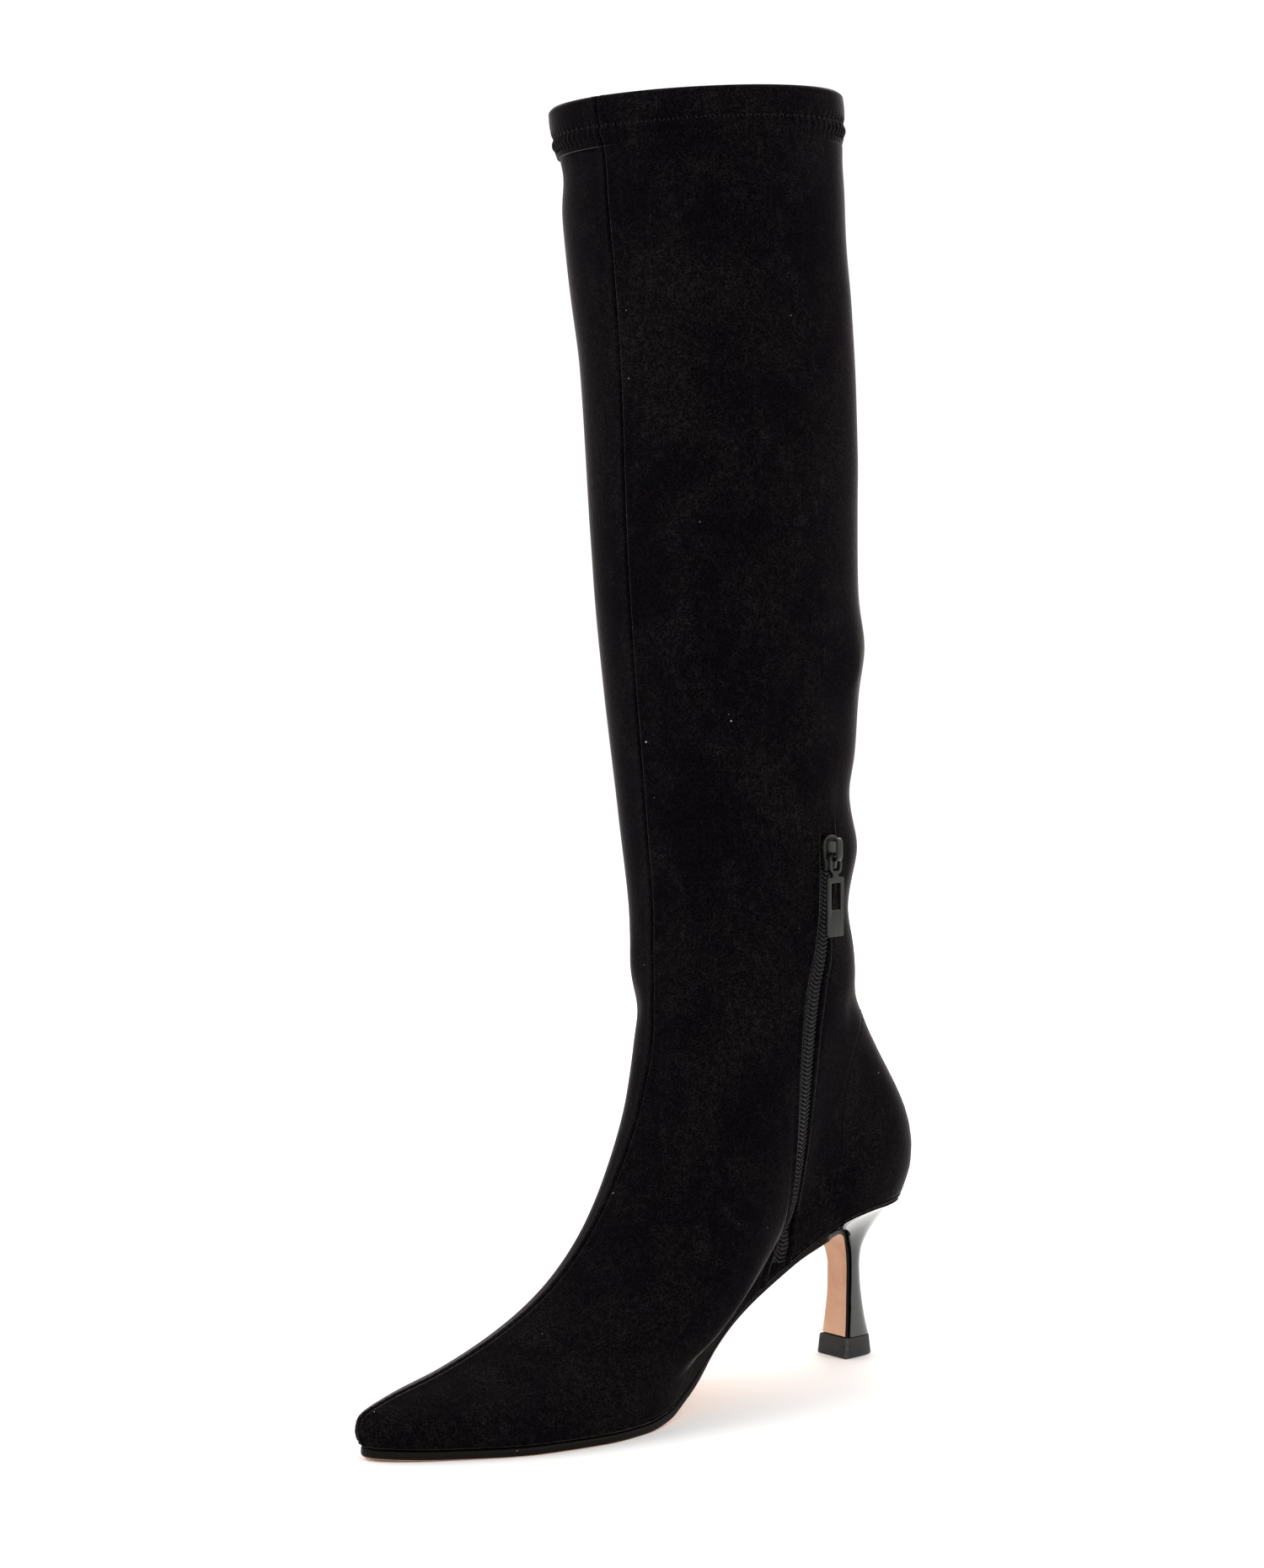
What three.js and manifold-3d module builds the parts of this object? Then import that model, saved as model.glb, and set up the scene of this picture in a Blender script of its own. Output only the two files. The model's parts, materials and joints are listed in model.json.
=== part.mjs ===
// A knee-high stretch boot with a pointed toe and a flared heel, for the wearer's right foot.
//
// Frame: millimetres, z up from the floor, toe towards -y, the wearer's inner (medial) side towards +x.
// The last is a stack of rings. Each ring runs from the front of the boot (side angle 0), round the
// inner side (90 degrees) to the back (180 degrees) and home along the outer side. The lowest ring is
// the feather line, where the upper meets the sole, and the highest is the rim of the collar.

import * as THREE from "three";
import { mergeVertices } from "three/addons/utils/BufferGeometryUtils.js";
import Module from "manifold-3d";

const wasm = await Module();
wasm.setup();

// ---------------------------------------------------------------- driving dimensions

const GAP = 0.3; // clearance between two pieces that touch in the real boot
const UPPER_WALL = 1.8; // stretch microsuede with its backing and lining
const COLLAR_HEIGHT = 17; // folded elastic hem at the top of the shaft
const COLLAR_WALL = 3; // the hem is three layers thick
const COLLAR_PROUD = 0.5; // how far the hem stands outside the shaft
const SOLE_THICKNESS = 2.9;
const SOLE_BACK = 0.215; // share of the foot's length, from the back, where the sole leaves the upper
const INSOLE_THICKNESS = 2.5;
const INSOLE_INSET = 2.2; // the insole stands this far inside the wall, clear of the zip tape
const TOP_PIECE_HEIGHT = 7.3; // the rubber block under the heel
const RING_POINTS = 56; // faces round the boot
const RING_SPACING = 20; // longest step up the boot, mm
const ZIP_SLOT = 7.2; // width of the opening that the zip fills
const ZIP_COIL = 6.4;
const ZIP_TAPE = 11;

const COLOURS = {
  suede: 0x17141a,
  sole: 0xc49a76,
  heel: 0x0c0c0d,
  rubber: 0x161616,
  insole: 0x2b2628,
  coil: 0x2a2a2c,
  metal: 0x6d7069,
};

// One object per row, keyed by the column names.
const table = (columns, rows) => rows.map((row) => Object.fromEntries(columns.map((c, i) => [c, row[i]])));

// Each row is one ring of the last: where it crosses the front and the back of the boot, its half
// width, how round it is (0 has the sole's outline, 1 is an ellipse), how far its front swings to the
// inner side, how far the whole ring leans sideways, and how far it turns about z, in degrees.
const LEVELS = table(
  ["frontY", "frontZ", "backY", "backZ", "half", "round", "swing", "lean", "turn"],
  [
    [-239.5, 4.2, -2, 56.5, 35.5, 0, 12, 0, 0],
    [-241.5, 8.5, 1, 62, 36.5, 0, 12, 0, 0],
    [-240.5, 13, 3.5, 68.5, 36.8, 0.02, 12, 0, 0],
    [-231, 17, 4, 74.5, 36.2, 0.05, 11.5, 0, 0],
    [-210, 22.5, 3, 81, 35.2, 0.1, 11, 0, 0],
    [-186, 31, 0.5, 88, 34.2, 0.18, 10, 0, 0],
    [-164, 42, -4, 96, 33.5, 0.3, 8, 0, 0],
    [-146, 57, -9.5, 104, 33, 0.45, 6, 0, 0],
    [-131.5, 76, -16, 113, 33, 0.65, 4, 0, 0],
    [-120.5, 99, -23, 124, 33, 0.85, 3, 0, 0],
    [-114, 127, -29, 140, 34, 1, 2, 0, 0],
    [-113, 158, -31, 166, 36, 1, 0, -1, 2],
    [-116, 195, -30.5, 200, 38.5, 1, 0, -2.5, 4],
    [-121.5, 240, -28, 240, 41.5, 1, 0, -3.5, 6],
    [-126, 290, -29.5, 290, 44.5, 1, 0, -4, 7],
    [-129, 340, -33, 340, 46.5, 1, 0, -4, 8],
    [-133.5, 390, -37.5, 394, 48, 1, 0, -5, 9],
    [-137, 420, -38.5, 427, 49, 1, 0, -5.5, 9],
    [-138.5, 435, -40, 443, 49.5, 1, 0, -6, 9],
  ],
);

// The sole's outline: the inner and outer sides as a share of the half width, from the back of the
// heel (along 0) to the tip of the toe (along 1).
const OUTLINE = table(
  ["along", "inner", "outer"],
  [
    [0, 1.05, 1.05],
    [0.08, 1.02, 1.02],
    [0.15, 0.9, 0.92],
    [0.25, 0.66, 0.72],
    [0.37, 0.54, 0.66],
    [0.5, 0.75, 0.84],
    [0.62, 1.01, 1.03],
    [0.7, 1.1, 1.06],
    [0.8, 1.09, 0.94],
    [0.9, 0.92, 0.72],
    [1, 0.7, 0.66],
  ],
);

// The arch: how much of the drop from the heel seat to the toe is done at each place along the foot.
const ARCH = table(
  ["along", "drop"],
  [
    [0, 0],
    [0.1, 0],
    [0.16, 0.03],
    [0.24, 0.18],
    [0.33, 0.4],
    [0.44, 0.7],
    [0.53, 0.92],
    [0.57, 0.99],
    [0.63, 1.02],
    [0.82, 1.02],
    [0.92, 1.015],
    [1, 1],
  ],
);

// Where the sole leaves the upper it narrows, turns and runs down the front of the heel. Each row is
// a place on its outer face, with its half width and thickness there.
const SOLE_TAIL = table(
  ["y", "z", "half", "thick"],
  [
    [-47, 47.3, 18.5, 2.3],
    [-41, 47.2, 15, 2.1],
    [-36, 46.2, 11.8, 1.9],
    [-32, 44.2, 8.8, 1.7],
    [-29.4, 41, 6.6, 1.5],
    [-28, 37, 5.7, 1.5],
    [-27.4, 32, 5.3, 1.5],
    [-27.5, 24, 5.3, 1.5],
    [-28.1, 15, 5.8, 1.5],
    [-28.9, 7.9, 6.3, 1.5],
  ],
);

// The heel from the bottom up: the front, back and half width of its D-shaped section, and how far
// that section has opened out into the outline of the seat.
const HEEL = table(
  ["z", "front", "back", "half", "seat"],
  [
    [TOP_PIECE_HEIGHT + GAP, -27.2, -15.2, 7.1, 0],
    [14, -26.4, -17, 6.6, 0],
    [20, -25.9, -18.2, 6.25, 0],
    [27, -25.6, -19.2, 6, 0],
    [33, -25.5, -19.5, 5.9, 0],
    [38, -25.8, -19.2, 6.1, 0.02],
    [42, -26.3, -18.2, 6.8, 0.11],
    [45, -27, -16.8, 7.6, 0.27],
    [48, -28, -15, 9, 0.54],
    [50.3, -29, -13, 10, 0.8],
    [52, -30, -12, 11, 0.95],
    [53, -30, -12, 11, 1],
  ],
);

// The top piece flares towards the floor: its front, back and half width there and at its top.
const TREAD = { front: -29.7, back: -13.8, half: 7.4 };
const TREAD_TOP = { front: -28.9, back: -14.9, half: 7.2 };

// The line of the zip, from its top end down the inner side of the boot to just above the sole.
const ZIP_LINE = table(
  ["y", "z"],
  [
    [-65.2, 191.4],
    [-64.8, 178],
    [-64.6, 163],
    [-66.5, 150],
    [-70, 138],
    [-71.5, 124],
    [-72, 108],
    [-72, 92],
    [-72, 78],
    [-72, 66],
    [-72.2, 56],
    [-73.5, 48],
    [-75, 42.5],
  ],
);

const SLIDER = { z: 184.5, width: 8, height: 11.5, thick: 2, lift: 0.3 };
const BAIL = { width: 2.4, low: -3.2, high: 4.8, rise: 3.9, strap: 1.2, foot: 1.3 };
const PULL = {
  thick: 1.2,
  loopWidth: 6.4,
  loopHeight: 7.4,
  loopCorner: 2.4,
  bar: 1.1,
  neck: 2.8,
  neckOverlap: 1,
  gapToTab: 1,
  tabWidth: 8.6,
  tabHeight: 20.2,
  tabCorner: 0.6,
};
const WINDOW = { width: 5.2, height: 9, fromTop: 2, corner: 0.5 };

// ---------------------------------------------------------------- curves through the tables

// A smooth curve through the points that never swings past them (monotone cubic).
function smoothCurve(x, y) {
  const last = x.length - 1;
  const step = (i) => x[i + 1] - x[i];
  const rise = (i) => (y[i + 1] - y[i]) / step(i);
  const endSlope = (h0, h1, r0, r1) => {
    const s = ((2 * h0 + h1) * r0 - h0 * r1) / (h0 + h1);
    if (Math.sign(s) !== Math.sign(r0)) return 0;
    return Math.sign(r0) !== Math.sign(r1) && Math.abs(s) > Math.abs(3 * r0) ? 3 * r0 : s;
  };
  const slope = x.map((_, i) => {
    if (i === 0) return endSlope(step(0), step(1), rise(0), rise(1));
    if (i === last) return endSlope(step(last - 1), step(last - 2), rise(last - 1), rise(last - 2));
    const before = rise(i - 1);
    const after = rise(i);
    if (before * after <= 0) return 0;
    const w1 = 2 * step(i) + step(i - 1);
    const w2 = step(i) + 2 * step(i - 1);
    return (w1 + w2) / (w1 / before + w2 / after);
  });
  return (at) => {
    const t = Math.min(Math.max(at, x[0]), x[last]);
    let i = 0;
    while (i < last - 1 && t > x[i + 1]) i += 1;
    const h = step(i);
    const u = (t - x[i]) / h;
    const a = (1 + 2 * u) * (1 - u) ** 2;
    const b = u * (1 - u) ** 2;
    const c = u * u * (3 - 2 * u);
    const d = u * u * (u - 1);
    return a * y[i] + b * h * slope[i] + c * y[i + 1] + d * h * slope[i + 1];
  };
}

const column = (rows, name) => rows.map((row) => row[name]);
const mix = (a, b, share) => a + (b - a) * share;

// How far each ring lies up the boot: the mean of the steps along its front and its back.
const RISE_AT = LEVELS.reduce((list, row, i) => {
  if (i === 0) return [0];
  const below = LEVELS[i - 1];
  const front = Math.hypot(row.frontY - below.frontY, row.frontZ - below.frontZ);
  const back = Math.hypot(row.backY - below.backY, row.backZ - below.backZ);
  return [...list, list[i - 1] + (front + back) / 2];
}, []);
const RIM = RISE_AT.at(-1);

const level = Object.fromEntries(
  Object.keys(LEVELS[0]).map((name) => [name, smoothCurve(RISE_AT, column(LEVELS, name))]),
);
const innerSide = smoothCurve(column(OUTLINE, "along"), column(OUTLINE, "inner"));
const outerSide = smoothCurve(column(OUTLINE, "along"), column(OUTLINE, "outer"));
const archDrop = smoothCurve(column(ARCH, "along"), column(ARCH, "drop"));

// ---------------------------------------------------------------- the last

// The point on the last at a side angle (radians) and a height up the boot.
function lastPoint(angle, up) {
  const along = (1 + Math.cos(angle)) / 2;
  const round = level.round(up);
  const front = level.frontY(up);
  const back = level.backY(up);
  const side = Math.sin(angle) >= 0 ? innerSide(along) : outerSide(along);
  const swing = level.swing(up) * along * along * (3 - 2 * along);
  const x = level.half(up) * Math.sin(angle) * mix(side, 1, round) + swing;
  const y = mix(back, front, along) - (front + back) / 2;
  const turn = THREE.MathUtils.degToRad(level.turn(up));
  const z = mix(level.backZ(up), level.frontZ(up), mix(archDrop(along), along, round));
  return new THREE.Vector3(
    x * Math.cos(turn) - y * Math.sin(turn) + level.lean(up),
    x * Math.sin(turn) + y * Math.cos(turn) + (front + back) / 2,
    z,
  );
}

// The outward normal of the last, from small steps both ways.
function lastNormal(angle, up) {
  const low = Math.max(up - 0.2, 0);
  const high = Math.min(up + 0.2, RIM);
  const around = lastPoint(angle + 0.002, up).sub(lastPoint(angle - 0.002, up));
  const rising = lastPoint(angle, high).sub(lastPoint(angle, low));
  return around.cross(rising).normalize();
}

// A point under the skin of the last; a negative depth stands proud of it.
const skinPoint = (angle, up, depth) =>
  lastPoint(angle, up).addScaledVector(lastNormal(angle, up), -depth);

// Side angles round one ring, evenly spaced along it: the ends of the foot turn faster than its sides.
const ringAngles = Array.from({ length: RING_POINTS }, (_, i) => {
  const even = (2 * Math.PI * i) / RING_POINTS;
  return even + 0.2 * Math.sin(2 * even);
});

// Heights of the rings between two heights, passing through every row of the table.
function ringHeights(from, to) {
  const stops = [from, ...RISE_AT.filter((r) => r > from + 1 && r < to - 1), to];
  return stops.flatMap((stop, i) => {
    if (i === stops.length - 1) return [stop];
    const parts = Math.ceil((stops[i + 1] - stop) / RING_SPACING);
    return Array.from({ length: parts }, (_, k) => mix(stop, stops[i + 1], k / parts));
  });
}

// The side angle and height of the place on the inner side with the given y and z.
function innerPlace(y, z) {
  const place = { angle: Math.PI / 2, up: z };
  for (let turn = 0; turn < 40; turn += 1) {
    const here = lastPoint(place.angle, place.up);
    const byAngle = lastPoint(place.angle + 0.001, place.up).sub(here).divideScalar(0.001);
    const byUp = lastPoint(place.angle, place.up + 0.1).sub(here).divideScalar(0.1);
    const det = byAngle.y * byUp.z - byUp.y * byAngle.z;
    const missY = y - here.y;
    const missZ = z - here.z;
    place.angle += (0.7 * (missY * byUp.z - missZ * byUp.y)) / det;
    place.up = Math.max(place.up + (0.7 * (missZ * byAngle.y - missY * byAngle.z)) / det, 0.01);
  }
  return place;
}

// ---------------------------------------------------------------- solids from sections

// A solid from a row of sections with the same number of points each. Closed rows join end to end;
// open rows are capped by the function given, or by a fan.
function skinSections(sections, closed, cap = fanCap) {
  const size = sections[0].length;
  const points = sections.flat();
  const faces = [];
  const spans = closed ? sections.length : sections.length - 1;
  for (let s = 0; s < spans; s += 1) {
    const a = s * size;
    const b = ((s + 1) % sections.length) * size;
    for (let i = 0; i < size; i += 1) {
      const j = (i + 1) % size;
      faces.push([a + i, a + j, b + j], [a + i, b + j, b + i]);
    }
  }
  if (!closed) {
    const end = (sections.length - 1) * size;
    faces.push(...cap(size).map(([p, q, r]) => [r, q, p]));
    faces.push(...cap(size).map(([p, q, r]) => [end + p, end + q, end + r]));
  }
  const geometry = new THREE.BufferGeometry();
  geometry.setAttribute("position", new THREE.Float32BufferAttribute(points.flatMap((p) => p.toArray()), 3));
  geometry.setIndex(faces.flat());
  return facingOut(geometry);
}

const fanCap = (size) => Array.from({ length: size - 2 }, (_, i) => [0, i + 1, i + 2]);

// A cap for a ring whose points mirror each other about its first point: strips across the ring.
function strapCap(size) {
  const faces = [[0, 1, size - 1]];
  for (let i = 1; i < size / 2 - 1; i += 1) {
    faces.push([i, i + 1, size - i - 1], [i, size - i - 1, size - i]);
  }
  faces.push([size / 2 - 1, size / 2, size / 2 + 1]);
  return faces;
}

// Turns a geometry's faces round if they point inwards.
function facingOut(geometry) {
  const p = geometry.getAttribute("position");
  const index = geometry.index.array;
  const corner = (k) => new THREE.Vector3().fromBufferAttribute(p, index[k]);
  let volume = 0;
  for (let k = 0; k < index.length; k += 3) {
    volume += corner(k).dot(corner(k + 1).cross(corner(k + 2)));
  }
  if (volume < 0) geometry.setIndex(Array.from(index).reverse());
  return geometry;
}

function toSolid(geometry) {
  const bare = geometry.clone();
  bare.deleteAttribute("normal");
  bare.deleteAttribute("uv");
  const merged = facingOut(mergeVertices(bare, 1e-4));
  return new wasm.Manifold(
    new wasm.Mesh({
      numProp: 3,
      vertProperties: merged.getAttribute("position").array,
      triVerts: new Uint32Array(merged.index.array),
    }),
  );
}

function toGeometry(solid) {
  const mesh = solid.getMesh();
  const points = [];
  for (let i = 0; i < mesh.vertProperties.length; i += mesh.numProp) {
    points.push(...mesh.vertProperties.slice(i, i + 3));
  }
  const geometry = new THREE.BufferGeometry();
  geometry.setAttribute("position", new THREE.Float32BufferAttribute(points, 3));
  geometry.setIndex(Array.from(mesh.triVerts));
  return geometry;
}

// ---------------------------------------------------------------- the upper and its collar

// A closed band of the last: its section is a list of depths and heights, swept round the boot.
const skinBand = (section) =>
  skinSections(
    ringAngles.map((angle) => section.map(([depth, up]) => skinPoint(angle, up, depth))),
    true,
  );

function upperShell() {
  const heights = ringHeights(0, RIM - COLLAR_HEIGHT);
  const outside = heights.map((up) => [0, up]);
  const inside = heights.map((up) => [UPPER_WALL, up]).reverse();
  return skinBand([...outside, ...inside]);
}

function collarBand() {
  const foot = RIM - COLLAR_HEIGHT + GAP;
  return skinBand([
    [-COLLAR_PROUD, foot],
    [-COLLAR_PROUD, RIM - 8],
    [-COLLAR_PROUD, RIM - 1.4],
    [0.6, RIM],
    [COLLAR_WALL - COLLAR_PROUD - 1, RIM],
    [COLLAR_WALL - COLLAR_PROUD, RIM - 1.4],
    [COLLAR_WALL - COLLAR_PROUD, RIM - 8],
    [COLLAR_WALL - COLLAR_PROUD, foot],
  ]);
}

// ---------------------------------------------------------------- the zip

// Sections along the zip line, each a list of [across, depth] laid on the skin of the last.
function alongZip(section, extend = 0) {
  const line = ZIP_LINE.map((row) => innerPlace(row.y, row.z));
  return line.map((place, i) => {
    const here = lastPoint(place.angle, place.up);
    const before = line[Math.max(i - 1, 0)];
    const after = line[Math.min(i + 1, line.length - 1)];
    const run = lastPoint(after.angle, after.up).sub(lastPoint(before.angle, before.up)).normalize();
    const end = i === 0 ? -extend : i === line.length - 1 ? extend : 0;
    const aside = lastNormal(place.angle, place.up).cross(run).normalize();
    const byAngle = lastPoint(place.angle + 0.001, place.up).sub(here).divideScalar(0.001);
    const byUp = lastPoint(place.angle, place.up + 0.1).sub(here).divideScalar(0.1);
    const aa = byAngle.dot(byAngle);
    const ab = byAngle.dot(byUp);
    const bb = byUp.dot(byUp);
    const det = aa * bb - ab * ab;
    return section.map(([across, depth]) => {
      const shift = aside.clone().multiplyScalar(across).addScaledVector(run, end);
      const a = shift.dot(byAngle);
      const b = shift.dot(byUp);
      const angle = place.angle + (a * bb - b * ab) / det;
      const up = place.up + (b * aa - a * ab) / det;
      return skinPoint(angle, up, depth);
    });
  });
}

function zipSlot() {
  const half = ZIP_SLOT / 2;
  const reach = UPPER_WALL + 3;
  return skinSections(alongZip([[-half, -3], [half, -3], [half, reach], [-half, reach]], GAP + 0.2), false);
}

function zipChain() {
  const coil = ZIP_COIL / 2;
  const tape = ZIP_TAPE / 2;
  const tapeTop = UPPER_WALL + 4 * GAP;
  const tapeBack = tapeTop + 0.5;
  return skinSections(
    alongZip([
      [-coil, 0.4],
      [coil, 0.4],
      [coil, tapeTop],
      [tape, tapeTop],
      [tape, tapeBack],
      [-tape, tapeBack],
      [-tape, tapeTop],
      [-coil, tapeTop],
    ]),
    false,
    () => [
      [0, 1, 2],
      [0, 2, 7],
      [2, 3, 4],
      [2, 4, 5],
      [2, 5, 7],
      [7, 5, 6],
    ],
  );
}

// A flat outline pushed out along z, centred on its own thickness.
function plate(shape, thick, curveSegments = 8) {
  const geometry = new THREE.ExtrudeGeometry(shape, { depth: thick, bevelEnabled: false, curveSegments });
  return geometry.translate(0, 0, -thick / 2);
}

function roundedRect(path, left, low, width, height, r) {
  path.moveTo(left + r, low);
  path.lineTo(left + width - r, low);
  path.absarc(left + width - r, low + r, r, -Math.PI / 2, 0, false);
  path.absarc(left + width - r, low + height - r, r, 0, Math.PI / 2, false);
  path.absarc(left + r, low + height - r, r, Math.PI / 2, Math.PI, false);
  path.absarc(left + r, low + r, r, Math.PI, 1.5 * Math.PI, false);
  return path;
}

// The slider in its own frame: x across the zip, y out from the boot, z up the zip.
function sliderBody() {
  const half = SLIDER.width / 2;
  const tall = SLIDER.height / 2;
  const outline = new THREE.Shape();
  outline.moveTo(-half + 1.2, -tall);
  outline.lineTo(half - 1.2, -tall);
  outline.quadraticCurveTo(half - 0.6, -tall / 3, half, tall / 3);
  outline.quadraticCurveTo(half, tall, 0, tall);
  outline.quadraticCurveTo(-half, tall, -half, tall / 3);
  outline.quadraticCurveTo(-half + 0.6, -tall / 3, -half + 1.2, -tall);
  const body = plate(outline, SLIDER.thick, 6)
    .rotateX(Math.PI / 2)
    .translate(0, SLIDER.lift + SLIDER.thick / 2, 0);

  const face = SLIDER.lift + SLIDER.thick;
  const crown = face + BAIL.rise;
  const arch = new THREE.Shape();
  arch.moveTo(BAIL.low, face - 0.5);
  arch.lineTo(BAIL.low, crown - 1.6);
  arch.quadraticCurveTo(BAIL.low, crown, BAIL.low + 2.4, crown);
  arch.lineTo(BAIL.high - 2.4, crown);
  arch.quadraticCurveTo(BAIL.high, crown, BAIL.high, crown - 1.6);
  arch.lineTo(BAIL.high, face - 0.5);
  arch.lineTo(BAIL.high - BAIL.foot, face - 0.5);
  arch.lineTo(BAIL.high - BAIL.foot, crown - BAIL.strap);
  arch.lineTo(BAIL.low + BAIL.foot, crown - BAIL.strap);
  arch.lineTo(BAIL.low + BAIL.foot, face - 0.5);
  arch.closePath();
  // The arch is drawn with z to the right and y up, and stands across the slider.
  const toSlider = new THREE.Matrix4().makeBasis(
    new THREE.Vector3(0, 0, 1),
    new THREE.Vector3(0, 1, 0),
    new THREE.Vector3(-1, 0, 0),
  );
  const strap = plate(arch, BAIL.width, 4).applyMatrix4(toSlider);
  return toGeometry(toSolid(body).add(toSolid(strap)));
}

// The hinge of the pull in the slider's frame: its loop hangs on the lower foot of the bail.
const HINGE = {
  y: SLIDER.lift + SLIDER.thick + (BAIL.rise - BAIL.strap) / 2,
  z: BAIL.low + BAIL.foot + 2 * GAP + PULL.bar / 2,
};

// The pull in the same frame, hanging straight down from its hinge: a loop, a neck and a tab.
function pullTab() {
  const top = HINGE.z + PULL.bar / 2;
  const loopLow = top - PULL.loopHeight;
  const tabTop = loopLow - PULL.gapToTab;
  const centred = (path, low, width, height, corner) =>
    roundedRect(path, -width / 2, low, width, height, corner);
  const loop = centred(new THREE.Shape(), loopLow, PULL.loopWidth, PULL.loopHeight, PULL.loopCorner);
  const hole = {
    low: loopLow + PULL.bar,
    width: PULL.loopWidth - 2 * PULL.bar,
    height: PULL.loopHeight - 2 * PULL.bar,
    corner: PULL.loopCorner - 1,
  };
  loop.holes.push(centred(new THREE.Path(), hole.low, hole.width, hole.height, hole.corner));
  const neckHeight = PULL.gapToTab + PULL.neckOverlap + GAP * 2;
  const neck = centred(new THREE.Shape(), tabTop - PULL.neckOverlap, PULL.neck, neckHeight, GAP);
  const tabLow = tabTop - PULL.tabHeight;
  const tab = centred(new THREE.Shape(), tabLow, PULL.tabWidth, PULL.tabHeight, PULL.tabCorner);
  const windowLow = tabTop - WINDOW.fromTop - WINDOW.height;
  tab.holes.push(centred(new THREE.Path(), windowLow, WINDOW.width, WINDOW.height, WINDOW.corner));
  const upright = (shape) =>
    toSolid(plate(shape, PULL.thick, 4).rotateX(Math.PI / 2).translate(0, HINGE.y, 0));
  return toGeometry(upright(loop).add(upright(neck)).add(upright(tab)));
}

// ---------------------------------------------------------------- the sole and the insole

const seatAngle = Math.acos(2 * SOLE_BACK - 1); // side angle where the sole leaves the upper

const featherPoint = (angle) => lastPoint(angle, 0);

function insolePlate() {
  const rim = UPPER_WALL + INSOLE_INSET;
  const at = (up, lift) =>
    ringAngles.map((angle) => {
      const p = skinPoint(angle, up, rim);
      return p.setZ(featherPoint(angle).z + lift);
    });
  return skinSections([at(0.2, 0.05), at(INSOLE_THICKNESS, 0.05 + INSOLE_THICKNESS)], false, strapCap);
}

// The sole as a strap of four-cornered sections, from the toe back and then down the heel. Margins
// make the larger form that cuts the heel free of it.
function soleStrap(marginSide = 0, marginIn = 0, marginOut = 0) {
  const foot = ringAngles.filter((angle) => angle < seatAngle && angle > 0.01);
  const sections = [0.07, ...foot, seatAngle].map((angle) => {
    const inner = featherPoint(angle);
    const outer = featherPoint(-angle);
    const top = inner.z - GAP;
    const low = Math.max(inner.z - GAP - SOLE_THICKNESS, 0);
    return [
      new THREE.Vector3(outer.x - marginSide, outer.y, top + marginIn),
      new THREE.Vector3(inner.x + marginSide, inner.y, top + marginIn),
      new THREE.Vector3(inner.x + marginSide, inner.y, low - marginOut),
      new THREE.Vector3(outer.x - marginSide, outer.y, low - marginOut),
    ];
  });
  const tail = SOLE_TAIL.map((row, i) => {
    const before = SOLE_TAIL[Math.max(i - 1, 0)];
    const after = SOLE_TAIL[Math.min(i + 1, SOLE_TAIL.length - 1)];
    const run = new THREE.Vector2(after.y - before.y, after.z - before.z).normalize();
    const inwards = row.thick + marginIn;
    const half = row.half + marginSide;
    const corner = (side, depth) =>
      new THREE.Vector3(side * half, row.y - run.y * depth, row.z + run.x * depth);
    return [corner(-1, inwards), corner(1, inwards), corner(1, -marginOut), corner(-1, -marginOut)];
  });
  return skinSections([...sections, ...tail], false);
}

// ---------------------------------------------------------------- the heel

const HEEL_FRONT_POINTS = 8; // points across the flat front
const HEEL_SIDE_POINTS = 24; // points round the sides and back

// A D-shaped ring, flat in front: it starts at the outer front corner, crosses the front to the
// inner side and comes back round the heel.
function dRing(front, back, half, z) {
  const points = [];
  for (let i = 0; i < HEEL_FRONT_POINTS; i += 1) {
    points.push(new THREE.Vector3(mix(-half, half, i / HEEL_FRONT_POINTS), front, z));
  }
  for (let i = 0; i < HEEL_SIDE_POINTS; i += 1) {
    const a = (Math.PI * i) / HEEL_SIDE_POINTS;
    const x = half * Math.sign(Math.cos(a)) * Math.abs(Math.cos(a)) ** 0.5;
    points.push(new THREE.Vector3(x, front + (back - front) * Math.sin(a) ** 0.8, z));
  }
  return points;
}

// The outline of the seat, point for point with the D-shaped rings.
function seatRing() {
  const points = [];
  const start = seatAngle + 0.03;
  const outer = featherPoint(-start);
  const inner = featherPoint(start);
  for (let i = 0; i < HEEL_FRONT_POINTS; i += 1) {
    points.push(outer.clone().lerp(inner, i / HEEL_FRONT_POINTS));
  }
  for (let i = 0; i < HEEL_SIDE_POINTS; i += 1) {
    points.push(featherPoint(mix(start, 2 * Math.PI - start, i / HEEL_SIDE_POINTS)));
  }
  return points.map((p) => p.setZ(p.z - GAP));
}

// Caps a heel ring with strips from its inner side to its outer side.
function heelCap(size) {
  const corner = HEEL_FRONT_POINTS;
  const faces = [[corner, corner + 1, size - 1]];
  for (let i = 0; i < corner; i += 1) faces.push([i, i + 1, size - 1]);
  const half = HEEL_SIDE_POINTS / 2;
  for (let k = 1; k < half - 1; k += 1) {
    const inner = corner + k;
    const outer = size - k;
    faces.push([inner, inner + 1, outer - 1], [inner, outer - 1, outer]);
  }
  faces.push([corner + half - 1, corner + half, corner + half + 1]);
  return faces;
}

function heelBlock() {
  const seat = seatRing();
  const rings = HEEL.map((row) =>
    dRing(row.front, row.back, row.half, row.z).map((p, i) => p.lerp(seat[i], row.seat)),
  );
  const block = toSolid(skinSections(rings, false, heelCap));
  const sole = toSolid(soleStrap(5, GAP, 8));
  return toGeometry(block.subtract(sole));
}

function topPiece() {
  const ring = (size, z) => dRing(size.front, size.back, size.half, z);
  return skinSections([ring(TREAD, 0), ring(TREAD_TOP, TOP_PIECE_HEIGHT)], false);
}

// ---------------------------------------------------------------- the boot

const boot = new THREE.Group();

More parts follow.
